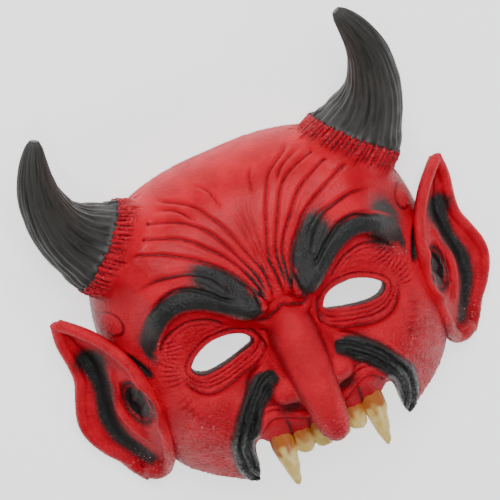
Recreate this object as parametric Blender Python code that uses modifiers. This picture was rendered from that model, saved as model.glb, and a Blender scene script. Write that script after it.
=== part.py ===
"""Devil half mask, moulded in one piece of soft foam, lying face up on its rim.

Sizes are in millimetres. X runs across the face, +Y from the mouth towards the
horns, +Z out of the face, and the table is at z = 0. The carving is drawn once, at
the drawn width and depth below, for one side of the face. The real face's width and
depth stretch the whole drawing, while walls and flats keep their own real sizes.
"""

import math

import bmesh
import bpy
import numpy as np

MM = 0.001

# Real sizes of the mask
FACE_WIDTH = 180.0
FACE_DEPTH = 54.0
HORN_LENGTH = 84.0
FANG_LENGTH = 35.0
INCISOR_LENGTH = 19.0
WALL = 6.0
EAR_WALL = 5.0
STRAP_PAD_LENGTH = 14.0
STRAP_PAD_HEIGHT = 12.0
STRAP_PAD_CUT = 1.5

# The drawing's own width and depth, and its other main sizes
DRAWN_WIDTH = 180.0
DRAWN_DEPTH = 54.0
DRAWN_TOP = 86.0
DRAWN_BOTTOM = 95.0
DRAWN_HORN = 84.0
ROUNDNESS = 2.6
ACROSS = FACE_WIDTH / DRAWN_WIDTH
UP = FACE_DEPTH / DRAWN_DEPTH
SIDE_WALL = WALL / ACROSS
ROOF_WALL = WALL / UP

# Carving on the face
RIM_FADE = (2.0, 16.0)
SOCKET_DEPTH = 8.0
BROW_HEIGHT = 9.0
BROW_HALF_WIDTH = 6.5
KNOB_HEIGHT = 5.0
SECOND_ROLL_HEIGHT = 3.5
FURROW_DEPTH = 1.8
FURROW_HALF_WIDTH = 2.0
CHEEK_HEIGHT = 8.0
MUZZLE_HEIGHT = 5.0
TEMPLE_HEIGHT = 7.0
LID_HEIGHT = 2.5
BAG_DEPTH = 3.0
BRIDGE_HEIGHT = 3.0
FOLD_HEIGHT = 4.0
FOLD_HALF_WIDTH = 2.3
FOLD_SPACING = 4.6
LIP_HEIGHT = 3.5
NOSE_HOLLOW = 5.0
HOLLOW_GAP = 1.5
DISC_RADIUS = 5.6
DISC_HEIGHT = 0.9
DISC_PLACE = (80.0, 31.0)
STRAP_PAD_Z = 15.0

# Nose, horns, ears and teeth
NOSE_RADIUS = 11.5
WING_PLACE = (15.0, -24.0, 58.0)
WING_RADII = (8.5, 11.0, 9.0)
HORN_RADIUS = 23.0
HORN_FLATNESS = 0.86
EAR_RIM_RADIUS = 3.2
EAR_SAG = 5.0
LOBE_PLACE = (88.0, -60.0, 9.0)
LOBE_RADII = (8.5, 6.5, 6.0)
GUM_Y = -50.0
GUM_Z = 49.0
INCISOR_RADIUS = 4.9
FANG_RADIUS = 6.2
FANG_HOOK = 4.0

# Meshing of the moulded skin
VOXEL = 1.8
FACE_STEPS = 64
EAR_STEPS = (14, 44)
TRIANGLE_SHARE = 0.084
SKIRT = 6.0

# Lines on the face, drawn for its +X side from the outer end inwards
BROW_LINE = [(70, 12), (66, 23), (57, 33), (46, 36.5), (34, 33), (25, 26.5), (17, 21), (13, 20)]
SECOND_ROLL_LINE = [(66, 40), (55, 44), (43, 45.5), (34, 42), (26, 36), (20, 29)]
FURROW_LINES = [
    [(57, 60), (44, 58), (31, 52), (20, 42), (12, 32), (6, 20)],
    [(49, 67), (40, 65.5), (31, 61), (20, 51.5), (10, 36.5), (5, 22)],
    [(45, 73), (32, 70), (21, 62.5), (14, 52), (8, 38), (3.5, 23)],
    [(33, 78), (21, 72.5), (12, 61), (7, 48), (3, 33), (1, 20)],
]
BRIDGE_LINE = [(0, 10.5), (8, 8.5), (15, 9.5)]
BAG_LINE = [(60, -4), (53, -12), (41, -15.5), (29, -13.5), (20, -8)]
FOLD_LINE = [(18, -15), (25, -21), (34, -30), (41, -41), (45.5, -52), (45.5, -64), (43, -74)]
LIP_LINE = [(37, -48), (33, -41.5), (26, -37.5), (18, -40), (9, -45.5), (0, -47)]
EYE_OUTLINE = [(19.5, 1), (23, 5), (29.5, 7.3), (38, 7), (45, 4.2), (51.5, -0.5), (52.5, -3.5),
               (48.5, -6.6), (41, -7), (33.5, -5.8), (26.5, -3.6), (21.5, -1.6)]
LOWER_OUTLINE = [(0, -56), (11, -56.5), (21, -56), (31, -54), (33.5, -51.5), (36, -49.5),
                 (38.3, -52.5), (39.5, -60), (40.5, -70), (43.5, -78.5), (54, -74.5), (67, -67),
                 (79, -60), (89, -50)]

# Nose: the middle line as y, z and a share of the nose's radius, and its broad root
NOSE_LINE = [(12, 50, 0.7), (4, 52.5, 1.05), (-8, 57, 1.18), (-22, 64, 1.15), (-35, 71, 1.05),
             (-45, 74.5, 0.98), (-52, 75, 0.78), (-56.5, 74, 0.42)]
NOSE_ROOT_LINE = [(8, 48, 0.8), (-10, 52, 1.2), (-30, 54, 1.25), (-38, 51, 0.87)]

# Ear: its free rim and the rim down the side of the face, and the lines of its hollow
EAR_OUTER = [(106, 38, 15), (107.5, 26, 12), (106.5, 12, 10), (107, 2, 9), (111, -9, 8),
             (114, -19, 8), (113.5, -28, 8), (109, -39, 7), (103, -48, 6), (99, -57, 5),
             (94, -64.5, 5)]
EAR_INNER = [(105, 37.5, 16), (97, 32.5, 23), (91, 27, 27), (85, 19, 31), (80, 8, 35),
             (77.5, -3, 37), (76.5, -15, 38), (77, -28, 37), (79, -41, 32), (81, -52, 23),
             (86, -62, 11)]
EAR_GROOVE_LINE = [(100, 24), (98, 10), (101, -6), (103, -19), (98, -34), (91, -47)]
EAR_RIDGE_LINE = [(90, 12), (93, -2), (95, -13), (92, -27), (85, -41)]
EAR_BOWL_PLACE = (84.5, -14.0)
EAR_BOWL_RADII = (6.0, 15.0)

# Horn: the middle line, with a share of the horn's radius, and its place where it leaves the skin
HORN_BASE = (71.5, 70, 23)
HORN_LINE = [(57, 57, 15, 1.12), (64, 63, 19, 1.09), (*HORN_BASE, 1.0), (76, 75.5, 25, 0.88),
             (81, 82.5, 28, 0.74), (84.8, 91, 31.5, 0.62), (86.5, 100, 35, 0.53),
             (87, 109.5, 38, 0.45), (85.5, 118.5, 40.5, 0.37), (83, 126.5, 42, 0.29),
             (80, 133.5, 43, 0.17), (78, 137.2, 43.2, 0.05)]


def smooth_line(points, steps):
    """Return points on a smooth curve through the given ones, steps to each span."""
    pts = np.array(points, float)
    padded = np.vstack([2 * pts[0] - pts[1], pts, 2 * pts[-1] - pts[-2]])
    out = []
    for i in range(len(pts) - 1):
        p0, p1, p2, p3 = padded[i:i + 4]
        for s in np.arange(steps) / steps:
            out.append(0.5 * (2 * p1 + (p2 - p0) * s + (2 * p0 - 5 * p1 + 4 * p2 - p3) * s ** 2
                              + (3 * p1 - p0 - 3 * p2 + p3) * s ** 3))
    out.append(pts[-1])
    return np.array(out)


def along_line(x, y, line):
    """Return each point's distance from a line, signed to its left, and its share along it."""
    spans = np.diff(line, axis=0)
    lengths = np.hypot(spans[:, 0], spans[:, 1])
    done = np.concatenate([[0.0], np.cumsum(lengths)])
    best = np.full(x.shape, np.inf)
    side = np.zeros(x.shape)
    share = np.zeros(x.shape)
    for k, (start, span) in enumerate(zip(line[:-1], spans)):
        dx, dy = x - start[0], y - start[1]
        t = np.clip((dx * span[0] + dy * span[1]) / lengths[k] ** 2, 0, 1)
        away = np.hypot(dx - t * span[0], dy - t * span[1])
        near = away < best
        best = np.where(near, away, best)
        side = np.where(near, span[0] * dy - span[1] * dx, side)
        share = np.where(near, (done[k] + t * lengths[k]) / done[-1], share)
    return best * np.where(side < 0, -1, 1), share


def ramp(low, high, value):
    """Rise smoothly from 0 at low to 1 at high."""
    t = np.clip((value - low) / (high - low), 0, 1)
    return t * t * (3 - 2 * t)


def swelling(x, y, centre, radii, power=2.0):
    """Return a smooth oval mound of height 1."""
    r = np.hypot((x - centre[0]) / radii[0], (y - centre[1]) / radii[1])
    return np.exp(-r ** power)


def roll(x, y, points, half_width, fade):
    """Return a rounded roll of height 1 along a curve, faded out at both ends."""
    away, share = along_line(x, y, smooth_line(points, 6))
    return np.exp(-(away / half_width) ** 2) * ramp(0, fade, share) * ramp(0, fade, 1 - share)


def dome(x, y, side_inset=0.0, roof_inset=0.0):
    """Return the plain round form of the face, moved in at its sides and its roof."""
    length = np.where(y > 0, DRAWN_TOP, DRAWN_BOTTOM) - side_inset
    rho = np.abs(x / (DRAWN_WIDTH / 2 - side_inset)) ** ROUNDNESS + np.abs(y / length) ** ROUNDNESS
    return (DRAWN_DEPTH - roof_inset) * np.maximum(1 - rho, 0) ** (1 / ROUNDNESS)


def brow(x, y):
    """Return the brow's roll: a long slope above, and a steep drop to the eye below."""
    away, share = along_line(x, y, smooth_line(BROW_LINE, 6))
    upper = np.exp(-(away / (1.15 * BROW_HALF_WIDTH)) ** 2)
    lower = np.exp(-(away / BROW_HALF_WIDTH) ** 4)
    return np.where(away < 0, upper, lower) * ramp(0, 0.3, share)


def broad_carving(x, y):
    """Return the height of the large forms over the dome: sockets, brows and cheeks."""
    x = np.abs(x)
    height = -SOCKET_DEPTH * swelling(x, y, (37, 3), (23, 18), 3.0)
    height += LID_HEIGHT * swelling(x, y, (36, 14), (15, 8))
    height += BROW_HEIGHT * brow(x, y)
    height += KNOB_HEIGHT * swelling(x, y, (15.5, 25), (8, 11))
    height += TEMPLE_HEIGHT * swelling(x, y, (62, 60), (19, 19))
    height += CHEEK_HEIGHT * swelling(x, y, (57, -30), (22, 24), 2.6)
    height += MUZZLE_HEIGHT * swelling(x, y, (20, -40), (26, 18), 2.6)
    return height


def fold(x, y):
    """Return the three rolls of the fold from the nose's wing to the cheek's corner."""
    away, share = along_line(x, y, smooth_line(FOLD_LINE, 6))
    rolls = sum(np.exp(-((away - place * FOLD_SPACING) / FOLD_HALF_WIDTH) ** 2) for place in (-1, 0, 1))
    return rolls * ramp(0, 0.12, share)


def fine_carving(x, y):
    """Return the height of the rolls and furrows over the large forms."""
    x = np.abs(x)
    height = SECOND_ROLL_HEIGHT * roll(x, y, SECOND_ROLL_LINE, 4.0, 0.15)
    for line in FURROW_LINES:
        height -= FURROW_DEPTH * roll(x, y, line, FURROW_HALF_WIDTH, 0.2)
    height += BRIDGE_HEIGHT * roll(x, y, BRIDGE_LINE, 3.0, 0.1)
    height -= BAG_DEPTH * roll(x, y, BAG_LINE, 3.0, 0.25)
    height += FOLD_HEIGHT * fold(x, y)
    height += LIP_HEIGHT * roll(x, y, LIP_LINE, 2.8, 0.1)
    disc = np.hypot(x - DISC_PLACE[0], y - DISC_PLACE[1])
    height += DISC_HEIGHT * ramp(DISC_RADIUS + 0.8, DISC_RADIUS - 0.8, disc)
    return height


def outer_height(x, y):
    """Return the height of the face's outer surface above the table."""
    plain = dome(x, y)
    return plain + ramp(*RIM_FADE, plain) * (broad_carving(x, y) + fine_carving(x, y))


def inner_height(x, y):
    """Return the height of the hollow's roof, a wall's thickness under the face."""
    plain = dome(x, y, SIDE_WALL, ROOF_WALL)
    nose = NOSE_HOLLOW * swelling(x, y, (0, -24), (8, 19))
    return plain + ramp(*RIM_FADE, plain) * (0.8 * broad_carving(x, y) + nose)


def lift_off_hollow(made):
    """Raise the underside of a form to just above the hollow's roof, so the hollow stays clear."""
    for vert in made.verts:
        roof = float(inner_height(np.array(vert.co.x), np.array(vert.co.y)))
        if roof > 0:
            vert.co.z = max(vert.co.z, roof + HOLLOW_GAP)
    return made


def add_copy(target, source, mirrored=False):
    """Add the geometry of one bmesh to another, mirrored in X if asked."""
    made = {v: target.verts.new((-v.co.x if mirrored else v.co.x, v.co.y, v.co.z))
            for v in source.verts}
    for face in source.faces:
        corners = [made[v] for v in face.verts]
        target.faces.new(reversed(corners) if mirrored else corners)


def plan_grid(columns, rows, half_size, place):
    """Return a grid whose corners a function moves from the plane into space."""
    grid = bmesh.new()
    bmesh.ops.create_grid(grid, x_segments=columns, y_segments=rows, size=half_size)
    flat = np.array([v.co[:] for v in grid.verts])
    for vert, point in zip(grid.verts, place(flat[:, 0], flat[:, 1])):
        vert.co = point
    return grid


def close_skins(front, back):
    """Join two grids of equal size round their borders into one closed shell."""
    bmesh.ops.reverse_faces(back, faces=back.faces)
    add_copy(front, back)
    back.free()
    bmesh.ops.bridge_loops(front, edges=[e for e in front.edges if e.is_boundary])
    bmesh.ops.recalc_face_normals(front, faces=front.faces)
    return front


def face_skin(height, inset):
    """Return one skin of the face, dense near its edge, which hangs below the table."""

    def place(u, v):
        ring = np.maximum(np.abs(u), np.abs(v))
        norm = (np.abs(u) ** ROUNDNESS + np.abs(v) ** ROUNDNESS) ** (1 / ROUNDNESS)
        reach = np.sin(np.minimum(ring, 1) * math.pi / 2) / np.maximum(norm, 1e-9)
        length = np.where(v > 0, DRAWN_TOP, DRAWN_BOTTOM) - inset
        x = (DRAWN_WIDTH / 2 - inset) * u * reach
        y = length * v * reach
        return np.stack([x, y, np.where(ring > 1 + 1e-6, -SKIRT, height(x, y))], 1)

    steps = 2 * FACE_STEPS + 2
    return plan_grid(steps, steps, 1 + 1 / FACE_STEPS, place)


def ear_relief(x, y):
    """Return the height of the ear's groove, ridge and bowl."""
    relief = -3.0 * roll(x, y, EAR_GROOVE_LINE, 4.0, 0.15)
    relief += 4.0 * roll(x, y, EAR_RIDGE_LINE, 3.2, 0.2)
    relief -= 6.0 * swelling(x, y, EAR_BOWL_PLACE, EAR_BOWL_RADII, 2.6)
    return relief


def ear_skin(drop):
    """Return one skin of the ear, stretched between its two rims."""

    def place(u, v):
        along = v + 0.5
        across = u + 0.5
        rims = []
        for line in (EAR_INNER, EAR_OUTER):
            curve = smooth_line(line, 6)
            shares = np.linspace(0, 1, len(curve))
            rims.append(np.stack([np.interp(along, shares, curve[:, k]) for k in range(3)], 1))
        points = rims[0] * (1 - across)[:, None] + rims[1] * across[:, None]
        middle = np.sin(np.pi * across) * np.sin(np.pi * along) ** 0.6
        points[:, 2] += middle * (ear_relief(points[:, 0], points[:, 1]) - EAR_SAG) - drop
        return points

    return plan_grid(*EAR_STEPS, 0.5, place)


def tube(points, resolution=6):
    """Return a round tube as a bmesh, through points given as x, y, z and radius."""
    line = smooth_line(points, 4)
    curve = bpy.data.curves.new("tube", "CURVE")
    curve.dimensions = "3D"
    curve.bevel_depth = 1.0
    curve.bevel_resolution = resolution
    curve.use_fill_caps = True
    spline = curve.splines.new("POLY")
    spline.points.add(len(line) - 1)
    for point, (x, y, z, radius) in zip(spline.points, line):
        point.co = (x, y, z, 1)
        point.radius = radius
    holder = bpy.data.objects.new("tube", curve)
    bpy.context.scene.collection.objects.link(holder)
    made = evaluated_copy(holder)
    bmesh.ops.remove_doubles(made, verts=made.verts, dist=0.01)
    bpy.data.objects.remove(holder)
    bpy.data.curves.remove(curve)
    return made


def evaluated_copy(thing):
    """Return an object's finished mesh as a bmesh."""
    seen = thing.evaluated_get(bpy.context.evaluated_depsgraph_get())
    mesh = bpy.data.meshes.new_from_object(seen)
    made = bmesh.new()
    made.from_mesh(mesh)
    bpy.data.meshes.remove(mesh)
    return made


def ball(centre, radii):
    """Return an oval lump as a bmesh."""
    made = bmesh.new()
    bmesh.ops.create_uvsphere(made, u_segments=24, v_segments=16, radius=1.0)
    bmesh.ops.scale(made, vec=radii, verts=made.verts)
    bmesh.ops.translate(made, vec=centre, verts=made.verts)
    return made


def nose_parts():
    """Return the long hooked nose and the root that it grows from."""
    return [tube([(0, y, z, NOSE_RADIUS * share) for y, z, share in line], 8)
            for line in (NOSE_LINE, NOSE_ROOT_LINE)]


def horn():
    """Return one horn, from inside its collar of skin to its tip."""
    stretch = HORN_LENGTH / DRAWN_HORN
    base = np.array(HORN_BASE)
    points = []
    for x, y, z, share in HORN_LINE:
        place = np.array((x, y, z))
        if y > base[1]:
            place = base + (place - base) * stretch
        points.append((*place[:2], place[2] / HORN_FLATNESS, HORN_RADIUS * share))
    made = tube(points, 10)
    bmesh.ops.scale(made, vec=(1, 1, HORN_FLATNESS), verts=made.verts)
    return made


def ear_parts():
    """Return one ear's leaf, its lobe and its rolled rims."""
    leaf = close_skins(ear_skin(0.0), ear_skin(EAR_WALL / UP))
    rims = [tube([(*point, EAR_RIM_RADIUS) for point in line]) for line in (EAR_OUTER, EAR_INNER)]
    return [leaf, ball(LOBE_PLACE, LOBE_RADII), *rims]


def tooth(x, length, radius, hook, shares):
    """Return one tooth, from inside the gum to its point."""
    steps = (0.0, 0.25, 0.5, 0.75, 0.92, 1.0)
    return tube([(x, GUM_Y - length / ACROSS * s, GUM_Z - hook * s ** 2, radius * share)
                 for s, share in zip(steps, shares)], 4)


def teeth():
    """Return one side's two incisors and its fang."""
    blunt = (0.9, 1.0, 1.0, 0.95, 0.7, 0.3)
    pointed = (0.95, 1.0, 0.86, 0.56, 0.26, 0.06)
    incisors = [tooth(x, INCISOR_LENGTH, INCISOR_RADIUS, 0.0, blunt) for x in (4.9, 14.6)]
    return [*incisors, tooth(25.3, FANG_LENGTH, FANG_RADIUS, FANG_HOOK, pointed)]


def middle_y():
    """Return the middle of the mask's length, from its fangs' points to its horns' tips."""
    base_y = HORN_BASE[1]
    tip_y = base_y + (HORN_LINE[-1][1] - base_y) * HORN_LENGTH / DRAWN_HORN
    return (tip_y + GUM_Y - FANG_LENGTH / ACROSS) / 2


def to_object(name, made, collection):
    """Turn a bmesh of the drawing into an object of the real size, centred on its own length."""
    bmesh.ops.translate(made, vec=(0, -middle_y(), 0), verts=made.verts)
    bmesh.ops.scale(made, vec=(ACROSS * MM, ACROSS * MM, UP * MM), verts=made.verts)
    mesh = bpy.data.meshes.new(name)
    made.to_mesh(mesh)
    made.free()
    thing = bpy.data.objects.new(name, mesh)
    collection.objects.link(thing)
    return thing


def prism(outline, low, high):
    """Return an upright prism over a plan outline."""
    made = bmesh.new()
    base = made.faces.new([made.verts.new((x, y, low)) for x, y in outline])
    raised = bmesh.ops.extrude_face_region(made, geom=[base])
    top = [g for g in raised["geom"] if isinstance(g, bmesh.types.BMVert)]
    bmesh.ops.translate(made, vec=(0, 0, high - low), verts=top)
    bmesh.ops.recalc_face_normals(made, faces=made.faces)
    return made


def block(low, high):
    """Return a box between two corners."""
    made = bmesh.new()
    bmesh.ops.create_cube(made, size=1.0)
    bmesh.ops.scale(made, vec=np.subtract(high, low), verts=made.verts)
    bmesh.ops.translate(made, vec=np.add(low, high) / 2, verts=made.verts)
    return made


def eye_cutter(side):
    """Return the cutter of one eye hole."""
    ring = smooth_line(EYE_OUTLINE + EYE_OUTLINE[:1], 3)[:-1]
    return prism([(side * x, y) for x, y in ring], 20, 90)


def chin_cutter():
    """Return the cutter that leaves the mask's lower edge."""
    edge = [tuple(point) for point in smooth_line(LOWER_OUTLINE, 3)]
    mirrored = [(-x, y) for x, y in edge[:0:-1]]
    far, wide, last = -DRAWN_BOTTOM - 20, DRAWN_WIDTH, edge[-1][1]
    return prism(mirrored + edge + [(wide, last), (wide, far), (-wide, far), (-wide, last)], -30, 120)


def strap_pad_cutter(side):
    """Return the cutter of the flat inside one temple, where a strap is glued on."""
    y = DISC_PLACE[1]
    left = 1 - (y / (DRAWN_TOP - SIDE_WALL)) ** ROUNDNESS
    left -= (STRAP_PAD_Z / (DRAWN_DEPTH - ROOF_WALL)) ** ROUNDNESS
    wall_x = (DRAWN_WIDTH / 2 - SIDE_WALL) * left ** (1 / ROUNDNESS) + STRAP_PAD_CUT / ACROSS
    half = STRAP_PAD_LENGTH / 2 / ACROSS, STRAP_PAD_HEIGHT / 2 / UP
    ends = sorted((side * (wall_x - 12), side * wall_x))
    return block((ends[0], y - half[0], STRAP_PAD_Z - half[1]),
                 (ends[1], y + half[0], STRAP_PAD_Z + half[1]))


def floor_cutter():
    """Return the block that trims the rim flat, level with the table."""
    return block((-200, -200, -40), (200, 250, 0))


def finish(name, colour, roughness):
    """Return a plain material."""
    material = bpy.data.materials.new(name)
    material.use_nodes = True
    shader = material.node_tree.nodes["Principled BSDF"]
    shader.inputs["Base Color"].default_value = (*colour, 1)
    shader.inputs["Roughness"].default_value = roughness
    return material


def cut(thing, cutter):
    """Cut one object out of another and keep the cutter as a guide."""
    cutter.hide_render = True
    cutter.display_type = "WIRE"
    boolean = thing.modifiers.new(cutter.name, "BOOLEAN")
    boolean.operation = "DIFFERENCE"
    boolean.object = cutter


def trimmed_face(cutters):
    """Return the face's shell with its lower edge cut, in the drawing's millimetres."""
    shell = close_skins(face_skin(outer_height, 0.0), face_skin(inner_height, SIDE_WALL))
    blank = to_object("face_blank", shell, cutters)
    cut(blank, to_object("chin_cutter", chin_cutter(), cutters))
    made = evaluated_copy(blank)
    bmesh.ops.scale(made, vec=(1 / (ACROSS * MM), 1 / (ACROSS * MM), 1 / (UP * MM)), verts=made.verts)
    bmesh.ops.translate(made, vec=(0, middle_y(), 0), verts=made.verts)
    bpy.data.objects.remove(blank)
    return made


def moulded_skin(whole, parts):
    """Return the mask as one skin, fused from the forms that overlap in it."""
    skin = to_object("devil_mask", whole, parts)
    remesh = skin.modifiers.new("one_skin", "REMESH")
    remesh.mode = "VOXEL"
    remesh.voxel_size = VOXEL * MM
    soften = skin.modifiers.new("soften", "SMOOTH")
    soften.factor = 0.5
    soften.iterations = 3
    thin = skin.modifiers.new("fewer_faces", "DECIMATE")
    thin.ratio = TRIANGLE_SHARE
    return skin


def main():
    """Build the mask."""
    for thing in list(bpy.data.objects):
        bpy.data.objects.remove(thing)
    parts = bpy.data.collections.new("devil_mask")
    cutters = bpy.data.collections.new("cutters")
    for group in (parts, cutters):
        bpy.context.scene.collection.children.link(group)

    whole = trimmed_face(cutters)
    for piece in nose_parts():
        add_copy(whole, lift_off_hollow(piece))
    solid_forms = [lift_off_hollow(piece) for piece in (ball(WING_PLACE, WING_RADII), horn(), *teeth())]
    for piece in (*solid_forms, *ear_parts()):
        add_copy(whole, piece)
        add_copy(whole, piece, mirrored=True)

    skin = moulded_skin(whole, parts)
    skin.data.materials.append(finish("moulded_foam_red", (0.55, 0.01, 0.015), 0.35))
    for name, side in (("right", -1), ("left", 1)):
        cut(skin, to_object("eye_cutter_" + name, eye_cutter(side), cutters))
        cut(skin, to_object("strap_pad_cutter_" + name, strap_pad_cutter(side), cutters))
    cut(skin, to_object("floor_cutter", floor_cutter(), cutters))


main()
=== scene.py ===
"""Looks of a moulded devil half mask: red foam skin, pointed ears, fluted horns and stained teeth.

The forms are drawn in millimetres, in the mask's own drawing: X runs across the face,
+Y from the mouth to the horns, +Z out of the face, with the table at z = 0. Lines on
the face are drawn for its +X side and serve both sides. Finished pieces are in metres.
"""

import logging
import math
from dataclasses import dataclass
from enum import Enum
from functools import cached_property
from typing import Callable, Sequence

import bmesh
import bpy
import numpy as np
from mathutils import Matrix, Vector


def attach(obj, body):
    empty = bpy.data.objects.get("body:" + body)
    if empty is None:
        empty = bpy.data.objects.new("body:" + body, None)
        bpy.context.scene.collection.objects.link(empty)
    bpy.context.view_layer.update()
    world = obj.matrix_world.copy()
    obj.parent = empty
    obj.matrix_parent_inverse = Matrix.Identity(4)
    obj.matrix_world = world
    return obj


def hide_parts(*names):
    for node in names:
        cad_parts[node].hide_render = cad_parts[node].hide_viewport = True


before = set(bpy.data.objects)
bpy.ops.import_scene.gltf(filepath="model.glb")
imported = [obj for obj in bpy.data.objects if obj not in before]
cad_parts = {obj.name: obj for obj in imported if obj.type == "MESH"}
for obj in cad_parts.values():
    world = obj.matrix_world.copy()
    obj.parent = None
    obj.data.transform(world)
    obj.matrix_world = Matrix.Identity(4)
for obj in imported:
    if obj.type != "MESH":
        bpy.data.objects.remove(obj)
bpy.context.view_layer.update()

LOG = logging.getLogger("devil_mask")
NODE = "devil_mask"
BODY = "root"

MM = 0.001
HORN_TIP_Y = 137.2
FANG_TIP_Y = -85.0
DRAWING_MIDDLE = (HORN_TIP_Y + FANG_TIP_Y) / 2

SOFTEN_FACTOR = 0.5
MELT_STEP = 0.6
# Softening rounds against which the depth of the hollows' painted shade is measured.
HOLLOW_SHADE_ROUNDS = 9
MERGE_GAP = 1e-4

Field = np.ndarray
Point2 = tuple[float, float]
Point3 = tuple[float, float, float]
Point4 = tuple[float, float, float, float]


class Side(Enum):
    """The two sides of the mask, as the wearer has them."""

    RIGHT = -1
    LEFT = 1


class Slot(Enum):
    """The record's material slots."""

    SKIN = "moulded_foam_red"
    HORN = "horn_black"
    TOOTH = "tooth_cream"


class Layer(Enum):
    """Painted layers kept on the points of a piece, each from 0 to 1."""

    # The black layer: airbrushed black paint, and in a few places painted shade laid in black, beside the
    # nose's wings and behind the ears.
    BLACK_AND_SHADE = "black_and_shade"
    # The shade layer: painted shade in creases, hollows and the pleats' valleys, under the nose and on steep
    # sides.
    CREASE = "crease"
    PEBBLE = "pebble"
    LINING = "lining"
    STAIN = "stain"


# Small drawing tools

def ramp(low: float, high: float, value: Field) -> Field:
    """Rise smoothly from 0 at low to 1 at high."""
    t = np.clip((value - low) / (high - low), 0, 1)
    return t * t * (3 - 2 * t)


def bump(value: Field, half_width: float) -> Field:
    """Return a round bump of height 1 at 0."""
    return np.exp(-(value / half_width) ** 2)


def swelling(x: Field, y: Field, centre: Point2, radii: Point2, power: float = 2.0) -> Field:
    """Return a smooth oval mound of height 1.

    Args:
        x, y: Places on the face.
        centre: The mound's middle.
        radii: Its half widths along X and Y.
        power: How flat its top and how steep its sides are.

    Returns:
        The mound's height at each place.
    """
    reach = np.hypot((x - centre[0]) / radii[0], (y - centre[1]) / radii[1])
    return np.exp(-reach ** power)


def smooth_line(points: Sequence[Sequence[float]], steps: int) -> np.ndarray:
    """Return points on a smooth curve through the given ones, steps to each span.

    Args:
        points: The points that the curve passes through.
        steps: How many points each span gets.

    Returns:
        The curve's points, one row each.
    """
    pts = np.array(points, float)
    padded = np.vstack([2 * pts[0] - pts[1], pts, 2 * pts[-1] - pts[-2]])
    out = []
    for i in range(len(pts) - 1):
        p0, p1, p2, p3 = padded[i:i + 4]
        for s in np.arange(steps) / steps:
            out.append(0.5 * (2 * p1 + (p2 - p0) * s + (2 * p0 - 5 * p1 + 4 * p2 - p3) * s ** 2
                              + (3 * p1 - p0 - 3 * p2 + p3) * s ** 3))
    out.append(pts[-1])
    return np.array(out)


def ripple(points: np.ndarray, length: float, seed: int, waves: int = 14) -> Field:
    """Return a smooth random field between about -1 and 1.

    Args:
        points: Places, one row each.
        length: The usual distance from crest to crest.
        seed: Which of the many such fields it is.
        waves: How many plane waves are laid over each other.

    Returns:
        The field's value at each place.
    """
    rng = np.random.default_rng(seed)
    ways = rng.normal(size=(waves, points.shape[1]))
    ways /= np.linalg.norm(ways, axis=1)[:, None]
    ways *= 2 * math.pi / (length * rng.uniform(0.7, 1.4, (waves, 1)))
    phases = rng.uniform(0, 2 * math.pi, waves)
    total = np.zeros(len(points))
    for way, phase in zip(ways, phases):
        total += np.sin(points @ way + phase)
    return total / math.sqrt(waves)


def folded(points: np.ndarray) -> np.ndarray:
    """Return the points with those on the -X side mirrored onto the +X side."""
    return np.column_stack([np.abs(points[:, 0]), points[:, 1:]])


def bowl_black(across: Field, along: Field) -> Field:
    """Return the black of an ear's bowl, and its paler ring, by the offset from its middle."""
    ring = np.hypot(across / 6.6, along / 13.5)
    return ramp(1.35, 0.7, ring) * (1 - 0.5 * bump(ring - 0.74, 0.1))


def bowl_waves(x: Field, y: Field) -> Field:
    """Return the fine waves inside an ear's bowl, from -1 to 1."""
    return np.sin(1.1 * (x - 84) + 0.5 * y)


@dataclass(frozen=True)
class Trace:
    """A smooth line on the face, drawn through a few points."""

    points: tuple[Point2, ...]
    steps: int = 6

    @cached_property
    def curve(self) -> np.ndarray:
        """Return the line as close points."""
        return smooth_line(self.points, self.steps)

    def near(self, x: Field, y: Field, reach: float) -> tuple[Field, Field]:
        """Return each place's distance from the line and its share along it.

        Args:
            x, y: Places on the face.
            reach: The distance past which no place is measured.

        Returns:
            The distance, above 0 on the line's left, and reach where it is longer, and
            the share of the line's length at the nearest point.
        """
        line = self.curve
        low, high = line.min(0) - reach, line.max(0) + reach
        close = (x > low[0]) & (x < high[0]) & (y > low[1]) & (y < high[1])
        away, share = np.full(x.shape, float(reach)), np.zeros(x.shape)
        px, py = x[close], y[close]
        best, side, place = np.full(px.shape, np.inf), np.zeros(px.shape), np.zeros(px.shape)
        spans = np.diff(line, axis=0)
        lengths = np.hypot(spans[:, 0], spans[:, 1])
        done = np.concatenate([[0.0], np.cumsum(lengths)])
        for k, (start, span) in enumerate(zip(line[:-1], spans)):
            dx, dy = px - start[0], py - start[1]
            t = np.clip((dx * span[0] + dy * span[1]) / lengths[k] ** 2, 0, 1)
            gap = np.hypot(dx - t * span[0], dy - t * span[1])
            nearer = gap < best
            best = np.where(nearer, gap, best)
            side = np.where(nearer, span[0] * dy - span[1] * dx, side)
            place = np.where(nearer, (done[k] + t * lengths[k]) / done[-1], place)
        away[close] = np.clip(best, 0, reach) * np.where(side < 0, -1, 1)
        share[close] = place
        return away, share

    def roll(self, x: Field, y: Field, half_width: float, fade: float) -> Field:
        """Return a rounded roll of height 1 along the line, faded out at both ends."""
        away, share = self.near(x, y, 4 * half_width)
        return bump(away, half_width) * ramp(0, fade, share) * ramp(0, fade, 1 - share)


@dataclass(frozen=True)
class Groove:
    """A sharp furrow pressed into the skin, with a faint ridge beside it."""

    trace: Trace
    half_width: float = 1.0
    depth: float = 1.2
    dark: float = 0.6
    fade: Point2 = (0.08, 0.15)


@dataclass(frozen=True)
class Mound:
    """A smooth oval rise on the face, or a dip where its rise is below 0."""

    rise: float
    place: Point2
    radii: Point2
    power: float = 2.0

    def height(self, x: Field, y: Field) -> Field:
        """Return the mound's height at each place."""
        return self.rise * swelling(x, y, self.place, self.radii, self.power)


# The plain forms of the face

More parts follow.
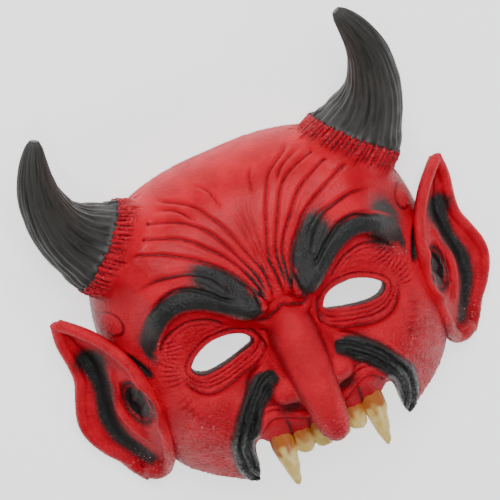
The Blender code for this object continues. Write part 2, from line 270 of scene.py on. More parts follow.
@dataclass
class FaceForm:
    """The face's shell before its fine carving."""

    width: float = 180.0
    depth: float = 54.0
    top: float = 86.0
    bottom: float = 95.0
    roundness: float = 2.6
    wall: float = 6.0
    brow_height: float = 9.0
    brow_half_width: float = 6.5
    skirt: float = 6.0
    steps: int = 130
    rim_fade: Point2 = (2.0, 16.0)
    outline_steps: int = 3
    fold_gap: float = 4.6
    fold_half_width: float = 2.3
    socket: Mound = Mound(-8.0, (37, 3), (23, 18), 3.0)
    lid_rise: Mound = Mound(2.5, (36, 14), (15, 8))
    brow_knob: Mound = Mound(5.0, (15.5, 25), (8, 11))
    horn_foot: Mound = Mound(7.0, (62, 60), (19, 19))
    cheek_mound: Mound = Mound(8.0, (57, -30), (22, 24), 2.6)
    lip_mound: Mound = Mound(5.0, (20, -40), (26, 18), 2.6)
    nose_hollow: Mound = Mound(5.0, (0, -24), (8, 19))
    brow_line: Trace = Trace(((70, 12), (66, 23), (57, 33), (46, 36.5), (34, 33), (25, 26.5), (17, 21),
                              (13, 20)))
    second_roll_line: Trace = Trace(((66, 40), (55, 44), (43, 45.5), (34, 42), (26, 36), (20, 29)))
    bridge_line: Trace = Trace(((0, 10.5), (8, 8.5), (15, 9.5)))
    bag_line: Trace = Trace(((60, -4), (53, -12), (41, -15.5), (29, -13.5), (20, -8)))
    fold_line: Trace = Trace(((14.5, -16.5), (20, -18.6), (25, -21), (34, -30), (41, -41), (45.5, -52),
                              (45.5, -64), (43, -74)))
    lip_line: Trace = Trace(((37, -48), (33, -41.5), (26, -37.5), (18, -40), (9, -45.5), (0, -47)))
    eye_outline: tuple[Point2, ...] = ((19.5, 1), (23, 5), (29.5, 7.3), (38, 7), (45, 4.2), (51.5, -0.5),
                                       (52.5, -3.5), (48.5, -6.6), (41, -7), (33.5, -5.8),
                                       (26.5, -3.6), (21.5, -1.6))
    lower_outline: tuple[Point2, ...] = ((0, -56), (11, -56.5), (21, -56), (31, -54), (33.5, -51.5),
                                         (36, -49.5), (38.3, -52.5), (39.5, -60), (40.5, -70),
                                         (43.8, -80), (54, -75), (67, -67), (79, -60), (89, -50))

    def dome(self, x: Field, y: Field, side_inset: float = 0.0, roof_inset: float = 0.0) -> Field:
        """Return the plain round form, moved in at its sides and its roof.

        Args:
            x, y: Places on the face.
            side_inset: How far its sides are moved in.
            roof_inset: How far its roof is lowered.

        Returns:
            Its height at each place.
        """
        length = np.where(y > 0, self.top, self.bottom) - side_inset
        rho = np.abs(x / (self.width / 2 - side_inset)) ** self.roundness
        rho = rho + np.abs(y / length) ** self.roundness
        return (self.depth - roof_inset) * np.maximum(1 - rho, 0) ** (1 / self.roundness)

    def brow(self, x: Field, y: Field) -> Field:
        """Return the brow's roll: a long slope above, and a steep drop to the eye below.

        Args:
            x, y: Places on the face.

        Returns:
            The roll's height, from 0 to 1, at each place.
        """
        away, share = self.brow_line.near(x, y, 3 * self.brow_half_width)
        upper = bump(away, 1.15 * self.brow_half_width)
        lower = np.exp(-(away / self.brow_half_width) ** 4)
        return np.where(away < 0, upper, lower) * ramp(0, 0.3, share)

    def broad_carving(self, x: Field, y: Field) -> Field:
        """Return the height of the large forms over the dome: sockets, brows and cheeks.

        Args:
            x, y: Places on the face.

        Returns:
            Their summed height at each place.
        """
        x = np.abs(x)
        height = self.socket.height(x, y)
        height += self.lid_rise.height(x, y)
        height += self.brow_height * self.brow(x, y)
        for mound in (self.brow_knob, self.horn_foot, self.cheek_mound, self.lip_mound):
            height += mound.height(x, y)
        return height

    def fold(self, x: Field, y: Field) -> Field:
        """Return the three rolls of the fold from the nose's wing to the cheek's corner.

        Args:
            x, y: Places on the face.

        Returns:
            Their height, from 0 to about 1, at each place.
        """
        away, share = self.fold_line.near(x, y, 12.0)
        rolls = sum(bump(away - place * self.fold_gap, self.fold_half_width) for place in (-1, 0, 1))
        return rolls * ramp(0, 0.12, share)

    def rolls(self, x: Field, y: Field) -> Field:
        """Return the height of the rolls over the large forms.

        Args:
            x, y: Places on the face.

        Returns:
            Their summed height at each place.
        """
        x = np.abs(x)
        height = 3.5 * self.second_roll_line.roll(x, y, 4.0, 0.15)
        height += 3.0 * self.bridge_line.roll(x, y, 3.0, 0.1)
        height -= 3.0 * self.bag_line.roll(x, y, 3.0, 0.25)
        height += 4.0 * self.fold(x, y)
        height += 3.5 * self.lip_line.roll(x, y, 2.8, 0.1)
        return height

    def outer_height(self, x: Field, y: Field) -> Field:
        """Return the height of the face's outer surface above the table."""
        plain = self.dome(x, y)
        return plain + ramp(*self.rim_fade, plain) * (self.broad_carving(x, y) + self.rolls(x, y))

    def inner_height(self, x: Field, y: Field) -> Field:
        """Return the height of the hollow's roof, a wall's thickness under the face.

        Args:
            x, y: Places on the face.

        Returns:
            The roof's height above the table at each place.
        """
        plain = self.dome(x, y, self.wall, self.wall)
        nose = self.nose_hollow.height(x, y)
        return plain + ramp(*self.rim_fade, plain) * (0.8 * self.broad_carving(x, y) + nose)

    def skin(self, height: Callable[[Field, Field], Field], inset: float) -> bmesh.types.BMesh:
        """Return one skin of the face, dense near its edge, which hangs below the table.

        Args:
            height: The skin's height above the table at a place.
            inset: How far the skin's outline is moved in.

        Returns:
            The open skin.
        """

        def place(u: Field, v: Field) -> np.ndarray:
            """Return the skin's points for places on the flat grid.

            Args:
                u, v: Places on the grid, past 1 or -1 where the skin hangs.

            Returns:
                The points, one row each.
            """
            ring = np.maximum(np.abs(u), np.abs(v))
            norm = (np.abs(u) ** self.roundness + np.abs(v) ** self.roundness) ** (1 / self.roundness)
            reach = np.sin(np.minimum(ring, 1) * math.pi / 2) / np.maximum(norm, 1e-9)
            length = np.where(v > 0, self.top, self.bottom) - inset
            x = (self.width / 2 - inset) * u * reach
            y = length * v * reach
            return np.stack([x, y, np.where(ring > 1 + 1e-6, -self.skirt, height(x, y))], 1)

        cells = 2 * self.steps + 2
        return plan_grid((cells, cells), 1 + 1 / self.steps, place)

    def lifted(self, points: np.ndarray, gap: float = 1.5) -> np.ndarray:
        """Return points raised to just above the hollow's roof, so that the hollow stays clear.

        Args:
            points: Places in the drawing.
            gap: The least distance kept above the roof.

        Returns:
            The raised points.
        """
        roof = self.inner_height(points[:, 0], points[:, 1])
        raised = points.copy()
        raised[:, 2] = np.where(roof > 0, np.maximum(points[:, 2], roof + gap), points[:, 2])
        raised[:, 2] = np.maximum(raised[:, 2], 0.0)
        return raised


# Mesh tools

def plan_grid(cells: tuple[int, int], half_size: float,
              place: Callable[[Field, Field], np.ndarray]) -> bmesh.types.BMesh:
    """Return a grid whose corners a function moves from the plane into space.

    Args:
        cells: The number of cells along X and Y.
        half_size: Half the flat grid's width.
        place: Gives the points in space for flat places.

    Returns:
        The moved grid.
    """
    grid = bmesh.new()
    bmesh.ops.create_grid(grid, x_segments=cells[0], y_segments=cells[1], size=half_size)
    flat = np.array([v.co[:] for v in grid.verts])
    for vert, point in zip(grid.verts, place(flat[:, 0], flat[:, 1])):
        vert.co = point
    return grid


def shell_mesh(name: str, front: bmesh.types.BMesh, back: bmesh.types.BMesh) -> bpy.types.Mesh:
    """Join two grids of equal size round their borders into one closed shell.

    Args:
        name: The new mesh's name.
        front: The outer grid, which is used up.
        back: The inner grid, which is used up.

    Returns:
        The closed shell.
    """
    bmesh.ops.reverse_faces(back, faces=back.faces)
    spare = bpy.data.meshes.new("back")
    back.to_mesh(spare)
    back.free()
    front.from_mesh(spare)
    bpy.data.meshes.remove(spare)
    bmesh.ops.bridge_loops(front, edges=[e for e in front.edges if e.is_boundary])
    bmesh.ops.recalc_face_normals(front, faces=front.faces)
    mesh = bpy.data.meshes.new(name)
    front.to_mesh(mesh)
    front.free()
    return mesh


def points_of(mesh: bpy.types.Mesh) -> np.ndarray:
    """Return the mesh's points, one row each.

    Args:
        mesh: The mesh that is read.

    Returns:
        The points' places.
    """
    flat = np.zeros(len(mesh.vertices) * 3, np.float32)
    mesh.vertices.foreach_get("co", flat)
    return flat.reshape(-1, 3).astype(float)


def normals_of(mesh: bpy.types.Mesh) -> np.ndarray:
    """Return the mesh's point normals, one row each.

    Args:
        mesh: The mesh that is read.

    Returns:
        The directions, each of length 1.
    """
    flat = np.zeros(len(mesh.vertices) * 3, np.float32)
    mesh.vertex_normals.foreach_get("vector", flat)
    return flat.reshape(-1, 3).astype(float)


def move_points(mesh: bpy.types.Mesh, points: np.ndarray) -> None:
    """Put the mesh's points in new places."""
    mesh.vertices.foreach_set("co", points.astype(np.float32).ravel())
    mesh.update()


def keep_layer(mesh: bpy.types.Mesh, layer: Layer, values: Field) -> None:
    """Keep a painted layer on the mesh's points."""
    attribute = mesh.attributes.new(layer.value, "FLOAT", "POINT")
    attribute.data.foreach_set("value", np.clip(values, 0, 1).astype(np.float32))


def temporary(mesh: bpy.types.Mesh) -> bpy.types.Object:
    """Return an object that shows a mesh while modifiers work on it.

    Args:
        mesh: The mesh to show.

    Returns:
        The object, in the scene.
    """
    holder = bpy.data.objects.new(mesh.name, mesh)
    bpy.context.scene.collection.objects.link(holder)
    return holder


def evaluated(holder: bpy.types.Object) -> bpy.types.Mesh:
    """Return the object's finished mesh, and remove the object.

    Args:
        holder: An object with its modifiers.

    Returns:
        The mesh with every modifier applied.
    """
    mesh = bpy.data.meshes.new_from_object(holder.evaluated_get(bpy.context.evaluated_depsgraph_get()))
    bpy.data.objects.remove(holder)
    return mesh


def joined(name: str, parts: Sequence[bpy.types.Mesh]) -> bpy.types.Mesh:
    """Return one mesh that holds several.

    Args:
        name: The new mesh's name.
        parts: The meshes to join.

    Returns:
        The joined mesh.
    """
    whole = bmesh.new()
    for part in parts:
        whole.from_mesh(part)
    mesh = bpy.data.meshes.new(name)
    whole.to_mesh(mesh)
    whole.free()
    return mesh


def mirrored(mesh: bpy.types.Mesh) -> bpy.types.Mesh:
    """Return the mesh as seen in a mirror across the face, with its faces still pointing out.

    Args:
        mesh: The mesh to copy.

    Returns:
        The mirror image.
    """
    twin = mesh.copy()
    twin.transform(Matrix.Scale(-1, 4, Vector((1, 0, 0))))
    twin.flip_normals()
    return twin


def both_sides(mesh: bpy.types.Mesh) -> list[bpy.types.Mesh]:
    """Return the mesh and its mirror image."""
    return [mesh, mirrored(mesh)]


def ball(centre: Point3, radii: Point3) -> bpy.types.Mesh:
    """Return an oval lump.

    Args:
        centre: Its middle.
        radii: Its half widths along X, Y and Z.

    Returns:
        The closed lump.
    """
    made = bmesh.new()
    bmesh.ops.create_icosphere(made, subdivisions=4, radius=1.0)
    mesh = bpy.data.meshes.new("ball")
    made.to_mesh(mesh)
    made.free()
    move_points(mesh, points_of(mesh) * np.array(radii) + np.array(centre))
    return mesh


def prism(outline: Sequence[Point2], low: float, high: float) -> bpy.types.Mesh:
    """Return an upright prism over a plan outline.

    Args:
        outline: The plan's corners in order.
        low: The height of its foot.
        high: The height of its top.

    Returns:
        The closed prism.
    """
    made = bmesh.new()
    base = made.faces.new([made.verts.new((x, y, low)) for x, y in outline])
    raised = bmesh.ops.extrude_face_region(made, geom=[base])
    top = [g for g in raised["geom"] if isinstance(g, bmesh.types.BMVert)]
    bmesh.ops.translate(made, vec=(0, 0, high - low), verts=top)
    bmesh.ops.recalc_face_normals(made, faces=made.faces)
    mesh = bpy.data.meshes.new("prism")
    made.to_mesh(mesh)
    made.free()
    return mesh


def cut_out(mesh: bpy.types.Mesh, cutters: Sequence[bpy.types.Mesh]) -> bpy.types.Mesh:
    """Return the mesh with each cutter's form cut out of it.

    Args:
        mesh: A closed mesh.
        cutters: The closed forms to cut with.

    Returns:
        The cut mesh.
    """
    holder = temporary(mesh)
    tools = [temporary(cutter) for cutter in cutters]
    for tool in tools:
        boolean = holder.modifiers.new(tool.name, "BOOLEAN")
        boolean.operation = "DIFFERENCE"
        boolean.object = tool
    made = evaluated(holder)
    for tool in tools:
        bpy.data.objects.remove(tool)
    return made


def fused(name: str, parts: Sequence[bpy.types.Mesh], voxel: float, rounds: int) -> bpy.types.Mesh:
    """Return several closed forms as one even skin.

    Args:
        name: The new mesh's name.
        parts: Closed meshes that overlap.
        voxel: The skin's step, in millimetres.
        rounds: How often the skin is smoothed.

    Returns:
        The fused mesh.
    """
    holder = temporary(joined(name, parts))
    remesh = holder.modifiers.new("one_skin", "REMESH")
    remesh.mode = "VOXEL"
    remesh.voxel_size = voxel
    soften = holder.modifiers.new("soften", "SMOOTH")
    soften.factor = SOFTEN_FACTOR
    soften.iterations = rounds
    return evaluated(holder)


def melt(mesh: bpy.types.Mesh, strength: Field, rounds: int) -> None:
    """Soften the creases of one region, as much as each point's strength says.

    Args:
        mesh: The mesh to soften.
        strength: How far each point moves, from 0 to 1.
        rounds: How often the points are moved.
    """
    ends = np.zeros(len(mesh.edges) * 2, np.int32)
    mesh.edges.foreach_get("vertices", ends)
    ends = ends.reshape(-1, 2)
    ends = ends[(strength[ends] > 0).any(1)]
    both = np.concatenate([ends, ends[:, ::-1]])
    count = np.maximum(np.bincount(both[:, 0], minlength=len(strength)), 1)
    points = points_of(mesh)
    for _ in range(rounds):
        near = np.stack([np.bincount(both[:, 0], points[both[:, 1], k], len(strength)) / count
                         for k in range(3)], 1)
        points += (MELT_STEP * strength)[:, None] * np.where((count > 1)[:, None], near - points, 0)
    move_points(mesh, points)


def hollows(mesh: bpy.types.Mesh, rounds: int) -> Field:
    """Return how deep each point lies in a crease, in millimetres, below 0 on a ridge.

    Args:
        mesh: The mesh that is read.
        rounds: How much softening the depth is measured against.

    Returns:
        The depth at each point.
    """
    soft = mesh.copy()
    melt(soft, np.ones(len(mesh.vertices)), rounds)
    depth = ((points_of(soft) - points_of(mesh)) * normals_of(mesh)).sum(1)
    bpy.data.meshes.remove(soft)
    return depth


def thinned(mesh: bpy.types.Mesh, where: Field, keep: float) -> bpy.types.Mesh:
    """Return the mesh with fewer faces in one region.

    Args:
        mesh: A mesh of quads and triangles.
        where: True for each point of the region.
        keep: The share of the region's faces that stays.

    Returns:
        The thinned mesh.
    """
    holder = temporary(mesh)
    group = holder.vertex_groups.new(name="region")
    group.add(np.flatnonzero(where).tolist(), 1.0, "REPLACE")
    thin = holder.modifiers.new("fewer_faces", "DECIMATE")
    thin.vertex_group = group.name
    thin.ratio = 1 - (1 - keep) * float(where.mean())
    return evaluated(holder)


class SweptForm:
    """Geometry Nodes that sweep a fluted ring along lines, as wide as each point's own radius."""

    WANDER_TURNS = 3.0

    def __init__(self) -> None:
        """Build the tree."""
        self.tree = bpy.data.node_groups.new("swept_form", "GeometryNodeTree")
        interface = self.tree.interface
        interface.new_socket("Lines", in_out="INPUT", socket_type="NodeSocketGeometry")
        kinds = {"Sides": "NodeSocketInt", "Flutes": "NodeSocketFloat",
                 "Flute Depth": "NodeSocketFloat", "Finish": "NodeSocketMaterial"}
        self.inputs = {name: interface.new_socket(name, in_out="INPUT", socket_type=kind).identifier
                       for name, kind in kinds.items()}
        interface.new_socket("Form", in_out="OUTPUT", socket_type="NodeSocketGeometry")
        self._wire()

    def _node(self, kind: str, **settings: object) -> bpy.types.Node:
        """Add a node with its settings.

        Args:
            kind: The node's type.
            settings: Values for the node's own properties.

        Returns:
            The new node.
        """
        node = self.tree.nodes.new(kind)
        for name, value in settings.items():
            setattr(node, name, value)
        return node

    def _stored(self, geometry: bpy.types.NodeSocket, name: str) -> bpy.types.NodeSocket:
        """Keep each curve point's share along its spline under a name.

        Args:
            geometry: The curves.
            name: The attribute's name.

        Returns:
            The curves with the attribute.
        """
        share = self._node("GeometryNodeSplineParameter")
        store = self._node("GeometryNodeStoreNamedAttribute", data_type="FLOAT", domain="POINT")
        store.inputs["Name"].default_value = name
        self.tree.links.new(geometry, store.inputs["Geometry"])
        self.tree.links.new(share.outputs["Factor"], store.inputs["Value"])
        return store.outputs["Geometry"]

    def _math(self, operation: str, a: object, b: object = 0.0) -> bpy.types.NodeSocket:
        """Add a math node on two sockets or numbers.

        Args:
            operation: The node's operation.
            a: Its first socket or number.
            b: Its second socket or number.

        Returns:
            The result's socket.
        """
        node = self._node("ShaderNodeMath", operation=operation)
        for socket, value in zip(node.inputs, (a, b)):
            if isinstance(value, bpy.types.NodeSocket):
                self.tree.links.new(value, socket)
            else:
                socket.default_value = value
        return node.outputs[0]

    def _wire(self) -> None:
        """Wire the tree: lines to curves, a fluted ring, the sweep and the finish."""
        link = self.tree.links.new
        source = self._node("NodeGroupInput")
        curves = self._node("GeometryNodeMeshToCurve")
        link(source.outputs["Lines"], curves.inputs["Mesh"])
        radius = self._node("GeometryNodeInputNamedAttribute", data_type="FLOAT")
        radius.inputs["Name"].default_value = "radius"

        ring = self._node("GeometryNodeCurvePrimitiveCircle", mode="RADIUS")
        ring.inputs["Radius"].default_value = 1.0
        link(source.outputs["Sides"], ring.inputs["Resolution"])
        place = self._node("GeometryNodeInputPosition")
        parts = self._node("ShaderNodeSeparateXYZ")
        link(place.outputs["Position"], parts.inputs[0])
        angle = self._math("ARCTAN2", parts.outputs["Y"], parts.outputs["X"])
        wander = self._math("SINE", self._math("MULTIPLY", angle, self.WANDER_TURNS))
        turns = self._math("ADD", self._math("MULTIPLY", angle, source.outputs["Flutes"]), wander)
        depth = self._math("MULTIPLY", self._math("SINE", turns), source.outputs["Flute Depth"])
        scale = self._node("ShaderNodeVectorMath", operation="SCALE")
        link(place.outputs["Position"], scale.inputs[0])
        link(depth, scale.inputs["Scale"])
        flute = self._node("GeometryNodeSetPosition")
        link(self._stored(ring.outputs["Curve"], "around"), flute.inputs["Geometry"])
        link(scale.outputs["Vector"], flute.inputs["Offset"])

        sweep = self._node("GeometryNodeCurveToMesh")
        sweep.inputs["Fill Caps"].default_value = True
        link(self._stored(curves.outputs["Curve"], "along"), sweep.inputs["Curve"])
        link(radius.outputs["Attribute"], sweep.inputs["Scale"])
        link(flute.outputs["Geometry"], sweep.inputs["Profile Curve"])
        real = self._node("GeometryNodeRealizeInstances")
        dress = self._node("GeometryNodeSetMaterial")
        goal = self._node("NodeGroupOutput")
        link(sweep.outputs["Mesh"], real.inputs["Geometry"])
        link(real.outputs["Geometry"], dress.inputs["Geometry"])
        link(source.outputs["Finish"], dress.inputs["Material"])
        link(dress.outputs["Geometry"], goal.inputs["Form"])

    def sweep(self, lines: Sequence[np.ndarray], sides: int, flutes: float = 0.0, depth: float = 0.0,
              finish: bpy.types.Material | None = None) -> bpy.types.Mesh:
        """Return the swept form of one or more lines.

        Args:
            lines: Points as x, y, z and radius, one array for each line.
            sides: The ring's number of sides.
            flutes: How many flutes run along the form.
            depth: Their depth as a share of the radius.
            finish: The material that the tree sets.

        Returns:
            One closed form for each line, in one mesh.
        """
        mesh = bpy.data.meshes.new("lines")
        points = np.vstack(lines)
        edges, start = [], 0
        for line in lines:
            edges += [(start + i, start + i + 1) for i in range(len(line) - 1)]
            start += len(line)
        mesh.from_pydata(points[:, :3].tolist(), edges, [])
        widths = mesh.attributes.new("radius", "FLOAT", "POINT")
        widths.data.foreach_set("value", points[:, 3].astype(np.float32))
        holder = temporary(mesh)
        modifier = holder.modifiers.new("swept_form", "NODES")
        modifier.node_group = self.tree
        values = {"Sides": sides, "Flutes": float(flutes), "Flute Depth": float(depth), "Finish": finish}
        for name, value in values.items():
            modifier[self.inputs[name]] = value
        made = bmesh.new()
        swept = evaluated(holder)
        made.from_mesh(swept)
        bmesh.ops.remove_doubles(made, verts=made.verts, dist=MERGE_GAP)
        bmesh.ops.recalc_face_normals(made, faces=made.faces)
        made.to_mesh(swept)
        made.free()
        return swept


def as_piece(name: str, mesh: bpy.types.Mesh, finish: bpy.types.Material) -> bpy.types.Object:
    """Make a finished piece of the mask from a mesh in the drawing.

    Args:
        name: The piece's name.
        mesh: Its mesh, in the drawing's millimetres.
        finish: Its material.

    Returns:
        The piece, riding on the mask's body and standing for its solid.
    """
    placed = (points_of(mesh) - np.array([0, DRAWING_MIDDLE, 0])) * MM
    move_points(mesh, placed)
    mesh.name = name
    mesh.materials.clear()
    mesh.materials.append(finish)
    mesh.shade_smooth()
    piece = bpy.data.objects.new(name, mesh)
    bpy.context.scene.collection.objects.link(piece)
    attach(piece, BODY)
    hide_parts(NODE)
    LOG.info("%s: %d triangles", name, sum(len(p.vertices) - 2 for p in mesh.polygons))
    return piece


# Horns

@dataclass
class Horn:
    """One fluted horn and the pleated collar of skin that it grows from."""

    radius: float = 23.0
    flatness: float = 0.86
    base: Point3 = (71.5, 70, 23)
    line: tuple[Point4, ...] = (
        (57, 57, 15, 1.12), (64, 63, 19, 1.09), (71.5, 70, 23, 1.0), (76, 75.5, 25, 0.88),
        (81, 82.5, 28, 0.74), (84.8, 91, 31.5, 0.62), (86.5, 100, 35, 0.53), (87, 109.5, 38, 0.45),
        (85.5, 118.5, 40.5, 0.37), (83, 126.5, 42, 0.29), (80, 133.3, 43, 0.19), (78.4, 136.6, 43.2, 0.1))
    steps: int = 10
    sides: int = 200
    hidden_start: int = 14
    flutes: float = 26.0
    flute_depth: float = 0.027
    collar_swell: float = 1.2
    collar_steps: int = 7
    collar_sides: int = 96
    joint_way: Point3 = (0.692, 0.722, 0.0)
    joint_place: float = 0.4
    pleats: int = 58

    def _points(self, first: int, last: int | None, swell: float) -> np.ndarray:
        """Return the middle line's points with their radii, unflattened in Z."""
        line = smooth_line(self.line, self.steps)[first:last]
        return np.column_stack([line[:, :2], line[:, 2] / self.flatness, line[:, 3] * self.radius + swell])

    def collar(self, tool: SweptForm, form: FaceForm) -> bpy.types.Mesh:
        """Return the short thick sleeve of skin round the horn's foot.

        Args:
            tool: The Geometry Nodes sweep.
            form: The face that the sleeve stands on.

        Returns:
            The closed sleeve.
        """
        last = 2 * self.steps + 1 + self.collar_steps
        mesh = tool.sweep([self._points(0, last, self.collar_swell)], self.collar_sides)
        points = points_of(mesh)
        points[:, 2] *= self.flatness
        move_points(mesh, form.lifted(points))
        return mesh

    def axes(self) -> tuple[np.ndarray, np.ndarray, np.ndarray]:
        """Return the horn's own direction at its foot and two more square to it.

        Returns:
            The directions along the horn, across it and up from it.
        """
        line = np.array(self.line)[:, :3]
        along = line[3] - line[1]
        along /= np.linalg.norm(along)
        across = np.cross(along, (0, 0, 1))
        across /= np.linalg.norm(across)
        return along, across, np.cross(across, along)

    def around_foot(self, points: np.ndarray) -> tuple[Field, Field, Field]:
        """Return how far points lie past the horn's foot, their angle round it and distance from it.

        Args:
            points: Places on the horn's side of the drawing.

        Returns:
            The distance past the foot, the angle, and the distance from the horn's middle line.
        """
        _, across, up = self.axes()
        offset = points - np.array(self.base)
        a, b = offset @ across, offset @ up / self.flatness
        past = offset @ np.array(self.joint_way) - self.joint_place
        return past, np.arctan2(b, a), np.hypot(a, b)

    def mesh(self, tool: SweptForm) -> bpy.types.Mesh:
        """Return the horn with its irregular flutes.

        Args:
            tool: The Geometry Nodes sweep.

        Returns:
            The horn, with its painted layers.
        """
        line = self._points(self.hidden_start, None, 0.0)
        mesh = tool.sweep([line], self.sides, self.flutes, self.flute_depth)
        points = points_of(mesh)
        points[:, 2] *= self.flatness
        move_points(mesh, points)
        count = len(mesh.vertices)
        along, around = np.zeros(count, np.float32), np.zeros(count, np.float32)
        mesh.attributes["along"].data.foreach_get("value", along)
        mesh.attributes["around"].data.foreach_get("value", around)
        turn = around * 2 * math.pi
        ring = np.column_stack([np.cos(turn), np.sin(turn)])
        grain = np.column_stack([ring * 3.2, along * 3.0])
        streaks = 0.7 * ripple(grain, 0.8, 5) + 0.7 * ripple(grain, 0.35, 6)
        cuts = np.minimum(ripple(np.column_stack([ring * 4, along * 2.2]), 0.7, 7) + 0.2, 0)
        thick = np.interp(along, (0, 0.75, 1), (1, 0.6, 0.1))
        move_points(mesh, points + normals_of(mesh) * ((0.12 * streaks + 0.45 * cuts) * thick)[:, None])
        # Painted shade in the flutes' cuts and low streaks.
        keep_layer(mesh, Layer.CREASE, ramp(0.05, -0.9, 0.6 * cuts + 0.25 * streaks))
        vector = mesh.attributes.new("grain", "FLOAT_VECTOR", "POINT")
        vector.data.foreach_set("vector", np.column_stack([ring * 6, along * 5]).astype(np.float32).ravel())
        return mesh


# The face and its carving

@dataclass
class FaceSkin:
    """The mask's red skin: the face's shell, the nose, its wings and the horns' collars."""

    form: FaceForm
    horn: Horn
    voxel: float = 0.87
    inner_share: float = 0.05
    nose_radius: float = 11.5
    nose_line: tuple[Point3, ...] = ((12, 48.5, 0.55), (4, 53, 0.95), (-8, 59, 1.04), (-22, 66.5, 0.95),
                                     (-35, 72.5, 0.83), (-44, 76.2, 0.74), (-49, 77.2, 0.63),
                                     (-52.3, 76.8, 0.45), (-54.4, 76.2, 0.2))
    flank_line: tuple[Point4, ...] = (
        (6, 2, 46, 0.58), (8, -8, 49.5, 0.7), (10, -18, 53.5, 0.72), (11.5, -26, 56, 0.62))
    line_steps: int = 5
    nose_sides: int = 48
    flank_sides: int = 32
    soften_rounds: int = 2
    join_rounds: int = 36
    lining_gap: float = 0.5
    past_edge: float = 20.0
    chin_cut: Point2 = (-30, 120)
    eye_cut: Point2 = (20, 90)
    table_cut: Point2 = (-40, 0)
    table_outline: tuple[Point2, ...] = ((-200, -200), (200, -200), (200, 250), (-200, 250))
    nose_root_line: tuple[Point3, ...] = ((8, 48, 0.8), (-10, 52, 1.2), (-30, 54, 1.25), (-38, 51, 0.87))
    wing_place: Point3 = (14.6, -27.0, 59.0)
    wing_radii: Point3 = (8.4, 7.8, 9.0)

    def blank(self) -> bpy.types.Mesh:
        """Return the face's shell with its eye holes, its lower edge and its flat rim cut.

        Returns:
            The closed shell.
        """
        form = self.form
        shell = shell_mesh("face_blank", form.skin(form.outer_height, 0.0),
                           form.skin(form.inner_height, form.wall))
        edge = [tuple(point) for point in smooth_line(form.lower_outline, form.outline_steps)]
        turned = [(-x, y) for x, y in edge[:0:-1]]
        far, wide, last = -form.bottom - self.past_edge, form.width, edge[-1][1]
        corners = [(wide, last), (wide, far), (-wide, far), (-wide, last)]
        chin = prism(turned + edge + corners, *self.chin_cut)
        ring = smooth_line(form.eye_outline + form.eye_outline[:1], form.outline_steps)[:-1]
        eyes = [prism([(side.value * x, y) for x, y in ring], *self.eye_cut) for side in Side]
        return cut_out(shell, [chin, *eyes, prism(self.table_outline, *self.table_cut)])

    def parts(self, tool: SweptForm) -> list[bpy.types.Mesh]:
        """Return every closed form that the skin is fused from.

        Args:
            tool: The Geometry Nodes sweep.

        Returns:
            The shell, the nose's forms and both collars.
        """
        made = [self.blank()]
        grown = []
        for line in (self.nose_line, self.nose_root_line):
            nose = [(0, y, z, self.nose_radius * share) for y, z, share in line]
            grown.append(tool.sweep([smooth_line(nose, self.line_steps)], self.nose_sides))
        flank = [(*point[:3], self.nose_radius * point[3]) for point in self.flank_line]
        grown += both_sides(tool.sweep([smooth_line(flank, self.line_steps)], self.flank_sides))
        grown += both_sides(ball(self.wing_place, self.wing_radii))
        for mesh in grown:
            move_points(mesh, self.form.lifted(points_of(mesh)))
        return made + grown + both_sides(self.horn.collar(tool, self.form))

    def is_lining(self, points: np.ndarray) -> Field:
        """Return which points lie on the hollow's side of the shell.

        Args:
            points: Places in the drawing.

        Returns:
            True for each point of the lining.
        """
        x, y = points[:, 0], points[:, 1]
        middle = (self.form.outer_height(x, y) + self.form.inner_height(x, y)) / 2
        return points[:, 2] < middle - self.lining_gap

    def join(self, points: np.ndarray) -> Field:
        """Return how strongly each point is softened: at the nose, the horns' feet and the hem.

        Args:
            points: Places on the skin.

        Returns:
            The strength, from 0 to 1.
        """
        x, y = np.abs(points[:, 0]), points[:, 1]
        lift = points[:, 2] - self.form.outer_height(points[:, 0], y)
        place = ramp(34, 26, x) * ramp(-46, -38, y) * ramp(19, 12, y)
        nose = place * ramp(-2.0, 0.0, lift) * ramp(16, 8, lift)
        past, _, reach = self.horn.around_foot(folded(points))
        foot = ramp(36, 31, reach) * ramp(-24, -18, past) * ramp(-8, -12, past) * ramp(-2.0, 0.0, lift)
        away, _ = Trace(self.form.lower_outline, self.form.outline_steps).near(x, y, 7.0)
        hem = 0.7 * ramp(6.5, 3.5, np.abs(away)) * ramp(-1.5, -3.5, lift)
        return np.maximum(np.maximum(nose, foot), hem)

    def mesh(self, tool: SweptForm, carving: "Carving") -> bpy.types.Mesh:
        """Return the fused and carved skin with its painted layers.

        Args:
            tool: The Geometry Nodes sweep.
            carving: The face's relief and paint.

        Returns:
            The finished skin.
        """
        skin = fused("mask_skin", self.parts(tool), self.voxel, self.soften_rounds)
        melt(skin, self.join(points_of(skin)), self.join_rounds)
        skin = thinned(skin, self.is_lining(points_of(skin)), self.inner_share)
        points = points_of(skin)
        carved = carving.carve(points, normals_of(skin), self.is_lining(points))
        moved = points + normals_of(skin) * carved.height[:, None]
        moved[:, 2] = np.maximum(moved[:, 2], 0.0)
        move_points(skin, moved)
        # Painted shade in the skin's hollows, by how deep they lie.
        carved.shade_hollows(hollows(skin, HOLLOW_SHADE_ROUNDS))
        for layer, values in carved.layers().items():
            keep_layer(skin, layer, values)
        return skin


